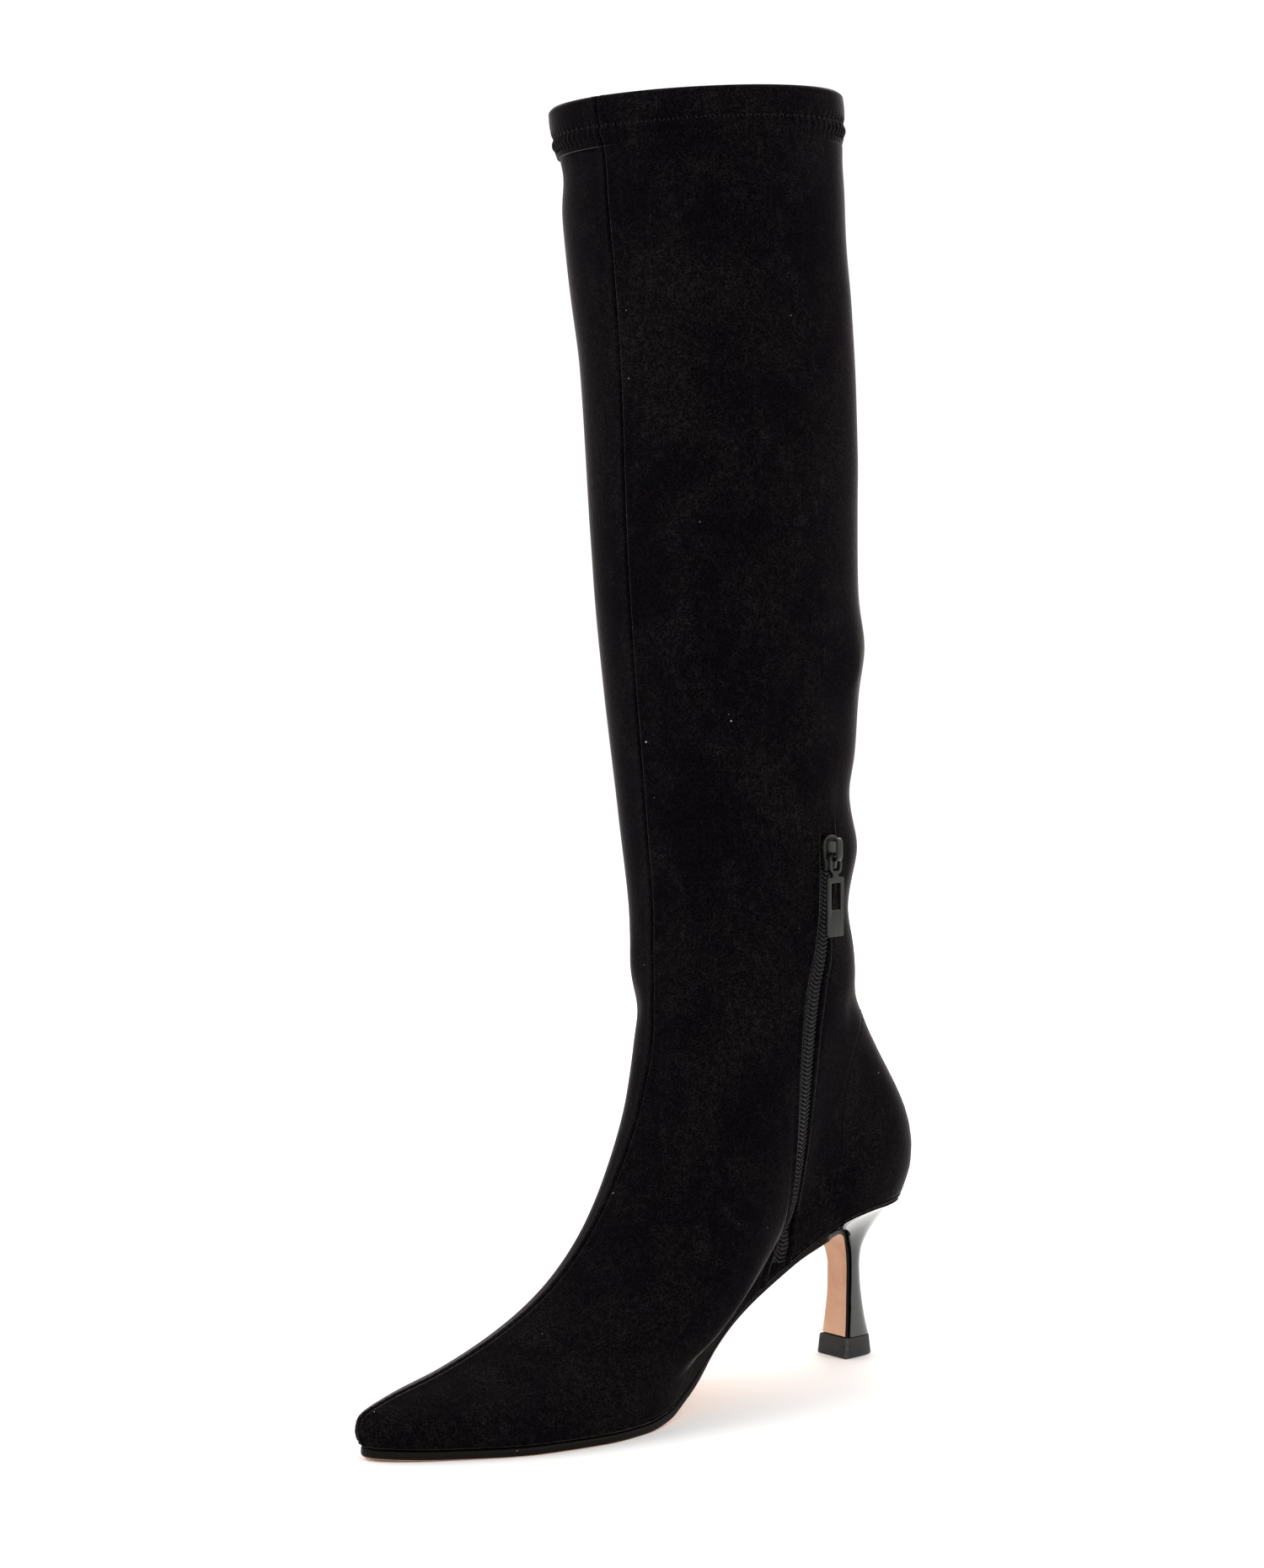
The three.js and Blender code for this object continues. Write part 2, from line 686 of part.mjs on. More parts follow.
function addPiece(name, geometry, color, roughness, metalness = 0) {
  const material = new THREE.MeshStandardMaterial({ color, roughness, metalness, flatShading: true });
  const mesh = new THREE.Mesh(geometry, material);
  mesh.name = name;
  boot.add(mesh);
  return mesh;
}

const upperSolid = toSolid(upperShell()).subtract(toSolid(zipSlot()));
addPiece("upper", toGeometry(upperSolid), COLOURS.suede, 0.95);
addPiece("collar_band", collarBand(), COLOURS.suede, 0.95);
addPiece("insole", insolePlate(), COLOURS.insole, 0.9);
addPiece("outsole", soleStrap(), COLOURS.sole, 0.6);
addPiece("heel", heelBlock(), COLOURS.heel, 0.15);
addPiece("top_piece", topPiece(), COLOURS.rubber, 0.8);
addPiece("zip_chain", zipChain(), COLOURS.coil, 0.5);

// The slider's frame stands on the skin of the last at the top of the zip, upright.
const sliderRow = ZIP_LINE[0];
const sliderPlace = innerPlace(sliderRow.y, SLIDER.z);
const outwards = lastNormal(sliderPlace.angle, sliderPlace.up).setZ(0).normalize();
const upwards = new THREE.Vector3(0, 0, 1);
const zipFrame = new THREE.Matrix4()
  .makeBasis(outwards.clone().cross(upwards), outwards, upwards)
  .setPosition(lastPoint(sliderPlace.angle, sliderPlace.up));
for (const [name, geometry] of [
  ["zip_slider", sliderBody()],
  ["zip_pull", pullTab()],
]) {
  const mesh = addPiece(name, geometry, COLOURS.metal, 0.35, 0.9);
  mesh.applyMatrix4(zipFrame);
}

// The frame's origin is the middle of the boot's box, on the floor.
boot.updateMatrixWorld(true);
const box = new THREE.Box3().setFromObject(boot, true);
const centre = box.getCenter(new THREE.Vector3());
boot.position.set(-centre.x, -centre.y, -box.min.z);

export default boot;
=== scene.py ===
"""A knee-high stretch microsuede boot for the right foot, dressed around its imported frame.

Lengths in the sub-assemblies are millimetres on the last: toe towards -y, inner side towards +x, z up
from the floor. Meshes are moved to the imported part's frame and made metres when they are built.
"""

import json
import logging
import math
from collections.abc import Sequence
from dataclasses import dataclass, field
from enum import Enum
from typing import Any

import bmesh
import bpy
import numpy as np
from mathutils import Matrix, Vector

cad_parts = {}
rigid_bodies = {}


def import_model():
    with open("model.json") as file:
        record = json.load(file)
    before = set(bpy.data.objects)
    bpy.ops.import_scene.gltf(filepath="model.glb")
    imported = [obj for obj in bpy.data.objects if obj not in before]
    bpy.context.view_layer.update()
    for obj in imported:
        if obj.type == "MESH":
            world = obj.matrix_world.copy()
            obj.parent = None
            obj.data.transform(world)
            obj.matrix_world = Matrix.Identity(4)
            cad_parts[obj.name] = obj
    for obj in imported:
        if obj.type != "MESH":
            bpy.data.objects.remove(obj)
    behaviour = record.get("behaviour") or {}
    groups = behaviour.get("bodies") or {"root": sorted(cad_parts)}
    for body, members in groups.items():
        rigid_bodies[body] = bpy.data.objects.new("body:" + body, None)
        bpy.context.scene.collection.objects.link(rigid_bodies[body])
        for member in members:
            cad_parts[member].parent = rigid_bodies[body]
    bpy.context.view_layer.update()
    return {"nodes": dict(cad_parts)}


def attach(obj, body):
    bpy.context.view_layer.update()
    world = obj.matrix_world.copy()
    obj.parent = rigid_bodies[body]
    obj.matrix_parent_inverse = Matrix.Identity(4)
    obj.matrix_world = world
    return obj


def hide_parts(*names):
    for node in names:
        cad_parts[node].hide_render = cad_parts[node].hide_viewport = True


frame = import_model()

LOG = logging.getLogger("boot")
Array = np.ndarray
Colour = tuple[float, float, float]
Material = bpy.types.Material
Piece = bpy.types.Object
Socket = bpy.types.NodeSocket

MM = 0.001
SHIFT = np.array([4.667354583740234, 118.75, 0.0])  # from the last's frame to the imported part's, mm
BOOT = "boot"
PULL = "pull"
FLAT = 180.0  # an angle no edge turns by, degrees
CRISP = 50.0  # edges that turn by more than this are shaded sharp, degrees
FRONT_ROW = 1.45  # from the front seam to its row of stitches, mm
ZIP_ROW = 6.2  # from the zip's middle to its rows of stitches, mm


class Slot(Enum):
    """The record's material slots."""

    SUEDE = "suede"
    INSOLE = "insole"
    SOLE = "sole"
    HEEL = "heel"
    RUBBER = "rubber"
    COIL = "coil"
    GUNMETAL = "gunmetal"


# ---------------------------------------------------------------- the last


class MonotoneCurve:
    """A smooth curve through points that never swings past them."""

    def __init__(self, x: Sequence[float], y: Sequence[float]) -> None:
        """Fits the slopes.

        Args:
            x: Where the points stand, rising.
            y: Their values.
        """
        self.x = np.asarray(x, float)
        self.y = np.asarray(y, float)
        h = np.diff(self.x)
        r = np.diff(self.y) / h
        before = 2 * h[1:] + h[:-1]
        after = h[1:] + 2 * h[:-1]
        with np.errstate(divide="ignore", invalid="ignore"):
            inner = (before + after) / (before / r[:-1] + after / r[1:])
        self.slope = np.full_like(self.y, r[0])
        if len(r) == 1:
            return
        self.slope[1:-1] = np.where(r[:-1] * r[1:] > 0, inner, 0.0)
        self.slope[0] = self._end(h[0], h[1], r[0], r[1])
        self.slope[-1] = self._end(h[-1], h[-2], r[-1], r[-2])

    @staticmethod
    def _end(h0: float, h1: float, r0: float, r1: float) -> float:
        """The slope at an end from its two nearest spans.

        Args:
            h0: Length of the end span.
            h1: Length of the next span.
            r0: Rise of the end span.
            r1: Rise of the next span.

        Returns:
            The slope.
        """
        s = ((2 * h0 + h1) * r0 - h0 * r1) / (h0 + h1)
        if np.sign(s) != np.sign(r0):
            return 0.0
        return 3 * r0 if np.sign(r0) != np.sign(r1) and abs(s) > abs(3 * r0) else s

    def __call__(self, at: Array | float) -> Array:
        """The curve's values.

        Args:
            at: Where to read it; it is held at its ends beyond them.

        Returns:
            One value for each place.
        """
        t = np.clip(np.asarray(at, float), self.x[0], self.x[-1])
        i = np.clip(np.searchsorted(self.x, t, side="right") - 1, 0, len(self.x) - 2)
        h = self.x[i + 1] - self.x[i]
        u = (t - self.x[i]) / h
        return (
            (1 + 2 * u) * (1 - u) ** 2 * self.y[i]
            + u * (1 - u) ** 2 * h * self.slope[i]
            + u * u * (3 - 2 * u) * self.y[i + 1]
            + u * u * (u - 1) * h * self.slope[i + 1]
        )


def smoothstep(low: float, high: float, at: Array | float) -> Array:
    """0 below low, 1 above high, and a soft rise between.

    Args:
        low: Where the rise starts.
        high: Where it ends; it may be under low for a fall.
        at: The places.

    Returns:
        Values from 0 to 1.
    """
    t = np.clip((np.asarray(at, float) - low) / (high - low), 0.0, 1.0)
    return t * t * (3 - 2 * t)


def bell(at: Array, width: float) -> Array:
    """A soft hump of height 1 about 0, of that half width."""
    return np.exp(-((at / width) ** 2))


# One row per ring: frontY, frontZ, backY, backZ, half width, roundness, swing, lean, turn.
LEVEL_NAMES = ("frontY", "frontZ", "backY", "backZ", "half", "round", "swing", "lean", "turn")
LEVELS = (
    (-239.5, 4.2, -2, 56.5, 35.5, 0, 12, 0, 0),
    (-241.5, 8.5, 1, 62, 36.5, 0, 12, 0, 0),
    (-240.5, 13, 3.5, 68.5, 36.8, 0.02, 12, 0, 0),
    (-231, 17, 4, 74.5, 36.2, 0.05, 11.5, 0, 0),
    (-210, 22.5, 3, 81, 35.2, 0.1, 11, 0, 0),
    (-186, 31, 0.5, 88, 34.2, 0.18, 10, 0, 0),
    (-164, 42, -4, 96, 33.5, 0.3, 8, 0, 0),
    (-146, 57, -9.5, 104, 33, 0.45, 6, 0, 0),
    (-131.5, 76, -16, 113, 33, 0.65, 4, 0, 0),
    (-120.5, 99, -23, 124, 33, 0.85, 3, 0, 0),
    (-114, 127, -29, 140, 34, 1, 2, 0, 0),
    (-113, 158, -31, 166, 36, 1, 0, -1, 2),
    (-116, 195, -30.5, 200, 38.5, 1, 0, -2.5, 4),
    (-121.5, 240, -28, 240, 41.5, 1, 0, -3.5, 6),
    (-126, 290, -29.5, 290, 44.5, 1, 0, -4, 7),
    (-129, 340, -33, 340, 46.5, 1, 0, -4, 8),
    (-133.5, 390, -37.5, 394, 48, 1, 0, -5, 9),
    (-137, 420, -38.5, 427, 49, 1, 0, -5.5, 9),
    (-138.5, 435, -40, 443, 49.5, 1, 0, -6, 9),
)
# The sole's outline from heel to toe: place along, inner side, outer side, as shares of the half width.
OUTLINE = (
    (0, 1.05, 1.05),
    (0.08, 1.02, 1.02),
    (0.15, 0.9, 0.92),
    (0.25, 0.66, 0.72),
    (0.37, 0.54, 0.66),
    (0.5, 0.75, 0.84),
    (0.62, 1.01, 1.03),
    (0.7, 1.1, 1.06),
    (0.8, 1.09, 0.94),
    (0.9, 0.92, 0.72),
    (1, 0.7, 0.66),
)
# The arch: place along the foot, and the share of the drop from heel seat to toe done there.
ARCH = (
    (0, 0),
    (0.1, 0),
    (0.16, 0.03),
    (0.24, 0.18),
    (0.33, 0.4),
    (0.44, 0.7),
    (0.53, 0.92),
    (0.57, 0.99),
    (0.63, 1.02),
    (0.82, 1.02),
    (0.92, 1.015),
    (1, 1),
)


class Last:
    """The shape the boot is made on: rings from the feather line (up 0) to the rim of the collar."""

    def __init__(self) -> None:
        """Runs smooth curves through the tables."""
        rows = np.array(LEVELS, float)
        step = np.diff(rows, axis=0)
        rise = (np.hypot(step[:, 0], step[:, 1]) + np.hypot(step[:, 2], step[:, 3])) / 2
        self.rise_at = np.concatenate([[0.0], np.cumsum(rise)])
        self.rim = float(self.rise_at[-1])
        self.level = {
            name: MonotoneCurve(self.rise_at, rows[:, i]) for i, name in enumerate(LEVEL_NAMES)
        }
        outline = np.array(OUTLINE, float)
        arch = np.array(ARCH, float)
        self.inner = MonotoneCurve(outline[:, 0], outline[:, 1])
        self.outer = MonotoneCurve(outline[:, 0], outline[:, 2])
        self.arch = MonotoneCurve(arch[:, 0], arch[:, 1])

    def point(self, angle: Array | float, up: Array | float) -> Array:
        """Points on the last.

        Args:
            angle: Side angle in radians: 0 in front, a quarter turn on the inner side, a half turn behind.
            up: Height up the boot, mm.

        Returns:
            Points in mm, with the last axis of length 3.
        """
        angle, up = np.broadcast_arrays(np.asarray(angle, float), np.asarray(up, float))
        at = {name: curve(up) for name, curve in self.level.items()}
        along = (1 + np.cos(angle)) / 2
        side = np.where(np.sin(angle) >= 0, self.inner(along), self.outer(along))
        side = side + (1 - side) * at["round"]
        x = at["half"] * np.sin(angle) * side + at["swing"] * along * along * (3 - 2 * along)
        middle = (at["frontY"] + at["backY"]) / 2
        y = at["backY"] + (at["frontY"] - at["backY"]) * along - middle
        turn = np.radians(at["turn"])
        drop = self.arch(along)
        drop = drop + (along - drop) * at["round"]
        z = at["backZ"] + (at["frontZ"] - at["backZ"]) * drop
        return np.stack(
            [
                x * np.cos(turn) - y * np.sin(turn) + at["lean"],
                x * np.sin(turn) + y * np.cos(turn) + middle,
                z,
            ],
            axis=-1,
        )

    def steps(self, angle: Array | float, up: Array | float) -> tuple[Array, Array]:
        """How the last moves by angle and by height.

        Args:
            angle: Side angles.
            up: Heights.

        Returns:
            The change per radian and the change per mm of height.
        """
        reach = 0.2
        high = np.minimum(np.asarray(up, float) + reach, self.rim)
        low = np.maximum(np.asarray(up, float) - reach, 0.0)
        turn = 0.002
        ahead, behind = np.asarray(angle) + turn, np.asarray(angle) - turn
        around = (self.point(ahead, up) - self.point(behind, up)) / (2 * turn)
        rising = (self.point(angle, high) - self.point(angle, low)) / (high - low)[..., None]
        return around, rising

    def normal(self, angle: Array | float, up: Array | float) -> Array:
        """Outward unit normals of the last at those places."""
        around, rising = self.steps(angle, up)
        return unit(np.cross(around, rising))

    def skin(self, angle: Array | float, up: Array | float, proud: Array | float) -> Array:
        """Points that stand proud of the last by that many mm, or under it where it is negative."""
        return self.point(angle, up) + self.normal(angle, up) * np.asarray(proud, float)[..., None]

    def place(self, y: float, z: float, start: float = math.pi / 2) -> tuple[float, float]:
        """The side angle and height of the place with that y and z.

        Args:
            y: Distance along the foot, mm.
            z: Height from the floor, mm.
            start: Side angle the search starts from, which picks the inner or outer side.

        Returns:
            The angle and the height up the boot.
        """
        angle, up = start, z
        for _ in range(40):
            here = self.point(angle, up)
            around, rising = self.steps(angle, np.asarray(max(up, 0.3)))
            det = around[1] * rising[2] - rising[1] * around[2]
            miss_y, miss_z = y - here[1], z - here[2]
            angle += 0.7 * (miss_y * rising[2] - miss_z * rising[1]) / det
            up = max(up + 0.7 * (miss_z * around[1] - miss_y * around[2]) / det, 0.01)
        return float(angle), float(up)


def unit(v: Array) -> Array:
    """Vectors at length 1."""
    return v / np.maximum(np.linalg.norm(v, axis=-1, keepdims=True), 1e-12)


# ---------------------------------------------------------------- lines and folds on the skin


@dataclass(frozen=True)
class SkinLine:
    """A line on the skin of the last, through places given as side angle and height.

    Attributes:
        angles: Side angles along it, radians.
        ups: Heights along it, mm.
    """

    angles: Array
    ups: Array

    @classmethod
    def through(cls, places: Sequence[tuple[float, float]], count: int) -> "SkinLine":
        """A smooth line through places.

        Args:
            places: Pairs of side angle in radians and height.
            count: How many places the line has.

        Returns:
            The line.
        """
        rows = np.array(places, float)
        at = np.linspace(0, len(rows) - 1, count)
        k = np.arange(len(rows))
        return cls(MonotoneCurve(k, rows[:, 0])(at), MonotoneCurve(k, rows[:, 1])(at))

    def moved(self, last: Last, across: float) -> "SkinLine":
        """The same line moved sideways on the skin.

        Args:
            last: The last it lies on.
            across: How far to its right, seen from outside with the line running away, mm.

        Returns:
            The moved line.
        """
        here = last.point(self.angles, self.ups)
        run = unit(np.gradient(here, axis=0))
        aside = unit(np.cross(last.normal(self.angles, self.ups), run))
        around, rising = last.steps(self.angles, self.ups)
        aa, ab, bb = ((u * v).sum(-1) for u, v in ((around, around), (around, rising), (rising, rising)))
        a, b = (around * aside).sum(-1) * across, (rising * aside).sum(-1) * across
        det = aa * bb - ab * ab
        return SkinLine(
            self.angles + (a * bb - b * ab) / det, np.maximum(self.ups + (b * aa - a * ab) / det, 0.05)
        )


@dataclass(frozen=True)
class Fold:
    """A soft ridge or trough along a line on the skin.

    Attributes:
        places: Pairs of side angle in degrees and height in mm.
        height: How far it stands proud; a trough is negative.
        width: Half width of its bell, mm.
    """

    places: tuple[tuple[float, float], ...]
    height: float
    width: float

    def at(self, last: Last, points: Array) -> Array:
        """Its height at points on the last.

        Args:
            last: The last.
            points: Points in mm, one per row.

        Returns:
            The height at each.
        """
        line = SkinLine.through([(math.radians(a), u) for a, u in self.places], 3 * len(self.places))
        nodes = last.point(line.angles, line.ups)
        nearest = np.full(points.shape[:-1], np.inf)
        for a, b in zip(nodes[:-1], nodes[1:]):
            run = b - a
            t = np.clip(((points - a) @ run) / max(run @ run, 1e-9), 0, 1)
            nearest = np.minimum(nearest, np.linalg.norm(points - a - t[..., None] * run, axis=-1))
        return self.height * bell(nearest, self.width)


# The zip's line, from its top end down the inner side to just above the sole: y and z.
ZIP_LINE = (
    (-65.2, 191.4),
    (-64.8, 178),
    (-64.6, 163),
    (-66.5, 150),
    (-70, 138),
    (-71.5, 124),
    (-72, 108),
    (-72, 92),
    (-72, 78),
    (-72, 66),
    (-72.2, 56),
    (-73.5, 48),
    (-75, 42.5),
)
# The counter's seam on the inner side, from the back of the ankle down to the sole: y and z.
COUNTER_INNER = ((-31, 127), (-38, 121), (-43.7, 113.5), (-48.3, 96), (-48, 76.5), (-51.9, 60), (-57, 50))
COUNTER_OUTER = ((-31, 127), (-38, 120), (-44, 109), (-48, 92), (-50, 74), (-56, 58), (-63, 46))

FOLDS = (
    # diagonal pulls on the inner side, from below the calf towards the instep
    Fold(((30, 222), (46, 234), (64, 252)), 1.1, 7),
    Fold(((28, 208), (46, 216), (66, 236)), -1.1, 7),
    Fold(((26, 192), (42, 203), (60, 218)), 1.0, 7),
    Fold(((22, 176), (42, 186), (62, 202)), -0.9, 8),
    Fold(((18, 148), (34, 160), (52, 176)), 0.9, 8),
    Fold(((20, 128), (40, 142), (60, 158)), -0.7, 9),
    Fold(((62, 262), (73, 246), (86, 236)), 0.8, 8),
    Fold(((88, 276), (99, 264), (112, 256)), 0.9, 8),
    # the back of the shaft, where it settles on itself above the ankle
    Fold(((118, 262), (140, 264), (165, 262), (195, 258)), 2.2, 12),
    Fold(((112, 212), (135, 212), (160, 208), (190, 206)), -1.4, 9),
    Fold(((118, 190), (140, 192), (165, 190), (190, 190)), 1.5, 8),
    Fold(((114, 168), (135, 170), (160, 168), (190, 166)), -1.6, 10),
    Fold(((128, 132), (150, 134), (180, 134), (205, 134)), -0.9, 8),
    # the outer side
    Fold(((210, 210), (240, 222), (270, 238)), -1.0, 9),
    Fold(((205, 190), (235, 200), (262, 214)), 0.9, 8),
    Fold(((250, 132), (275, 136), (305, 140), (335, 146)), -0.9, 7),
    Fold(((245, 146), (275, 150), (310, 154), (335, 160)), 0.8, 8),
    Fold(((222, 168), (245, 172), (270, 182)), -0.8, 9),
    # drawn in under the hem at the outer front
    Fold(((262, 424), (290, 426), (320, 427), (350, 427)), -1.9, 9),
    Fold(((100, 424), (140, 428), (180, 430)), -0.5, 8),
    # slack down the shaft
    Fold(((60, 330), (64, 372)), -0.7, 16),
    Fold(((120, 330), (126, 380)), 0.8, 16),
    Fold(((300, 300), (310, 360)), -0.9, 18),
    Fold(((215, 310), (225, 380)), -0.8, 18),
)


class Relief:
    """How the finished skin stands off the last: folds, seams, the zip's opening and the lasted edge."""

    def __init__(self, last: Last) -> None:
        """Lays the zip and seam lines out on the last.

        Args:
            last: The last.
        """
        self.last = last
        self.zip_line = SkinLine.through([last.place(y, z) for y, z in ZIP_LINE], 240)
        run = unit(np.gradient(last.point(self.zip_line.angles, self.zip_line.ups), axis=0))
        aside = unit(np.cross(last.normal(self.zip_line.angles, self.zip_line.ups), run))
        around, _ = last.steps(self.zip_line.angles, self.zip_line.ups)
        order = np.argsort(self.zip_line.ups)
        self._zip_up = self.zip_line.ups[order]
        self._zip_angle = self.zip_line.angles[order]
        self._zip_speed = np.abs((around * aside).sum(-1))[order]
        behind = (math.pi, 131.0)
        self.counters = (
            SkinLine.through([behind, *(last.place(y, z) for y, z in COUNTER_INNER)], 90),
            SkinLine.through([behind, *(last.place(y, z, 1.5 * math.pi) for y, z in COUNTER_OUTER)], 90),
        )

    def zip_angle(self, up: Array) -> Array:
        """Side angle of the zip's line at those heights."""
        return np.interp(up, self._zip_up, self._zip_angle)

    def zip_speed(self, up: Array) -> Array:
        """Millimetres across the zip per radian of side angle."""
        return np.interp(up, self._zip_up, self._zip_speed)

    def front_speed(self, up: Array) -> Array:
        """Millimetres per radian at the front seam."""
        around, _ = self.last.steps(np.zeros_like(up), up)
        return np.linalg.norm(around, axis=-1)

    def front_offset(self, angle: Array, up: Array) -> Array:
        """Distance from the front seam, positive towards the inner side, mm."""
        wrapped = (np.asarray(angle) + math.pi) % (2 * math.pi) - math.pi
        return np.clip(wrapped, -0.6, 0.6) * self.front_speed(up)

    def soft(self, angle: Array, up: Array) -> Array:
        """The folds alone.

        Args:
            angle: Side angles.
            up: Heights.

        Returns:
            How far the skin stands proud, mm.
        """
        points = self.last.point(angle, up)
        total = np.zeros(points.shape[:-1])
        for fold in FOLDS:
            total += fold.at(self.last, points)
        return total

    def front_seam(self, angle: Array, up: Array) -> Array:
        """The groove of the front seam between its two low shoulders."""
        s = self.front_offset(angle, up)
        shown = smoothstep(6, 14, up)
        return shown * (0.5 * bell(np.abs(s) - 1.5, 1.3) - 0.75 * bell(s, 0.4) - 0.15 * bell(s + 1.5, 0.5))

    def zip_opening(self, angle: Array, up: Array) -> Array:
        """The sunk floor of the zip, its turned edges and their stitching line."""
        s = np.abs((angle - self.zip_angle(up)) * self.zip_speed(up))
        under_slider = 3.2
        top, low = self._zip_up[-1] - under_slider, self._zip_up[0]
        along = smoothstep(top + 0.9, top + 0.2, up) * smoothstep(low - 1.6, low - 0.8, up)
        near = smoothstep(top + 9, top + 2, up)
        floor = -1.55 * smoothstep(3.75, 3.45, s) * along
        edge = 0.4 * bell(s - 4.6, 0.9) * near
        line = -0.28 * bell(s - ZIP_ROW, 0.55) * near
        return floor + edge + line

    def lasted_edge(self, up: Array) -> Array:
        """The skin turning in to the sole, with the pressed line just above it."""
        turn = -0.7 * np.clip(1 - up / 1.1, 0, 1) ** 2
        return turn - 0.22 * bell(up - 2.0, 0.3) + 0.12 * bell(up - 1.3, 0.35)

    def toe_puckers(self, angle: Array, up: Array) -> Array:
        """Small gathers where the skin is drawn round the tip of the toe."""
        wrapped = (np.asarray(angle) + math.pi) % (2 * math.pi) - math.pi
        waves = np.sin(wrapped * 34 + 0.7 * np.sin(up * 0.6)) * 0.6 + np.sin(wrapped * 57 + up * 0.35) * 0.4
        return 0.3 * waves * bell(wrapped, 0.55) * bell(up - 6, 7)

    def at(self, angle: Array, up: Array) -> Array:
        """The whole relief.

        Args:
            angle: Side angles.
            up: Heights.

        Returns:
            How far the skin stands proud, mm.
        """
        return (
            self.soft(angle, up)
            + self.front_seam(angle, up)
            + self.zip_opening(angle, up)
            + self.lasted_edge(up)
            + self.toe_puckers(angle, up)
        )


# ---------------------------------------------------------------- meshes


def to_part(points: Array) -> Array:
    """Points of the last's frame, mm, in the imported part's frame, metres."""
    return (np.asarray(points, float) + SHIFT) * MM


def grid_faces(rows: int, columns: int, start: int = 0, wrap: bool = False, close: bool = False) -> Array:
    """Quads of a grid of points stored row after row.

    Args:
        rows: Rows of points.
        columns: Points in a row.
        start: Index of the first point.
        wrap: Whether each row's last point joins its first.
        close: Whether the last row joins the first.

    Returns:
        Corner indices, four per row.
    """
    r = np.arange(rows if close else rows - 1)[:, None]
    c = np.arange(columns if wrap else columns - 1)[None, :]
    a = r * columns + c
    b = r * columns + (c + 1) % columns
    up = ((r + 1) % rows) * columns
    d, e = up + c, up + (c + 1) % columns
    return np.stack(np.broadcast_arrays(a, b, e, d), axis=-1).reshape(-1, 4) + start


def placed(name: str, data: Any) -> Piece:
    """A new object that holds the data, linked to the scene."""
    made = bpy.data.objects.new(name, data)
    bpy.context.scene.collection.objects.link(made)
    return made


def with_modifiers(name: str, holder: Piece) -> bpy.types.Mesh:
    """The plain mesh an object makes with its modifiers; the object is removed.

    Args:
        name: The mesh's name.
        holder: The object.

    Returns:
        The mesh.
    """
    bpy.context.view_layer.update()
    graph = bpy.context.evaluated_depsgraph_get()
    mesh = bpy.data.meshes.new_from_object(holder.evaluated_get(graph))
    mesh.name = name
    bpy.data.objects.remove(holder)
    return mesh


def corners(mesh: bpy.types.Mesh) -> Array:
    """A mesh's points in metres, one per row."""
    points = np.empty(len(mesh.vertices) * 3)
    mesh.vertices.foreach_get("co", points)
    return points.reshape(-1, 3)


def shade(mesh: bpy.types.Mesh, sharp_deg: float) -> None:
    """Shades a mesh smooth, but sharp at edges that turn by more than that angle."""
    mesh.shade_smooth()
    if sharp_deg < FLAT:
        mesh.set_sharp_from_angle(angle=math.radians(sharp_deg))


class MeshBench:
    """Gathers points and faces, and turns them into one object."""

    def __init__(self, name: str) -> None:
        """Starts an empty mesh.

        Args:
            name: The piece's name.
        """
        self.name = name
        self.points: list[Array] = []
        self.faces: list[list[int]] = []
        self.finish_of: list[int] = []
        self.count = 0

    def add_points(self, points: Array) -> int:
        """Adds points in mm.

        Args:
            points: Points, of any shape that ends in 3.

        Returns:
            The index of the first.
        """
        flat = np.asarray(points, float).reshape(-1, 3)
        self.points.append(flat)
        first = self.count
        self.count += len(flat)
        return first

    def add_faces(self, faces: Any, finish: int | Array = 0) -> None:
        """Adds faces.

        Args:
            faces: Corner indices of each face.
            finish: The place of their material, for all or one each.
        """
        rows = faces.tolist() if isinstance(faces, np.ndarray) else [list(f) for f in faces]
        self.faces.extend(rows)
        each = np.broadcast_to(np.asarray(finish, int), (len(rows),))
        self.finish_of.extend(each.tolist())

    def add_fan(self, ring: Sequence[int], centre: Array, finish: int = 0, flip: bool = False) -> None:
        """Closes a ring with a fan to its middle.

        Args:
            ring: Point indices in order.
            centre: The middle, mm.
            finish: The place of its material.
            flip: Whether to turn the faces round.
        """
        middle = self.add_points(centre)
        n = len(ring)
        rows = [[ring[i], ring[(i + 1) % n], middle] for i in range(n)]
        self.add_faces([row[::-1] for row in rows] if flip else rows, finish)

    def add_tube(
        self, rings: Array, finish: int | Array = 0, end_finish: int = 0,
        flips: tuple[bool, bool] = (False, True),
    ) -> None:
        """Adds rings joined into a tube and closes both its ends.

        Args:
            rings: Points in mm, one row per ring.
            finish: The place of the material of the side's faces, for all or one each.
            end_finish: The place of the material of the ends.
            flips: Whether to turn the first and the last end round.
        """
        rows, columns = rings.shape[:2]
        start = self.add_points(rings)
        self.add_faces(grid_faces(rows, columns, start, wrap=True), finish)
        for row, flip in zip((0, rows - 1), flips):
            ring = list(range(start + row * columns, start + (row + 1) * columns))
            self.add_fan(ring, rings[row].mean(axis=0), end_finish, flip)

    def build(self, finishes: Sequence[Material], sharp_deg: float = FLAT) -> Piece:
        """Makes the object, smooth, closed at its doubles and facing out.

        Args:
            finishes: Its materials in order.
            sharp_deg: Angle beyond which an edge stays sharp.

        Returns:
            The object, linked to the scene.
        """
        mesh = bpy.data.meshes.new(self.name)
        mesh.from_pydata(to_part(np.concatenate(self.points)).tolist(), [], self.faces)
        mesh.polygons.foreach_set("material_index", self.finish_of)
        for material in finishes:
            mesh.materials.append(material)
        tidy(mesh, sharp_deg)
        return placed(self.name, mesh)


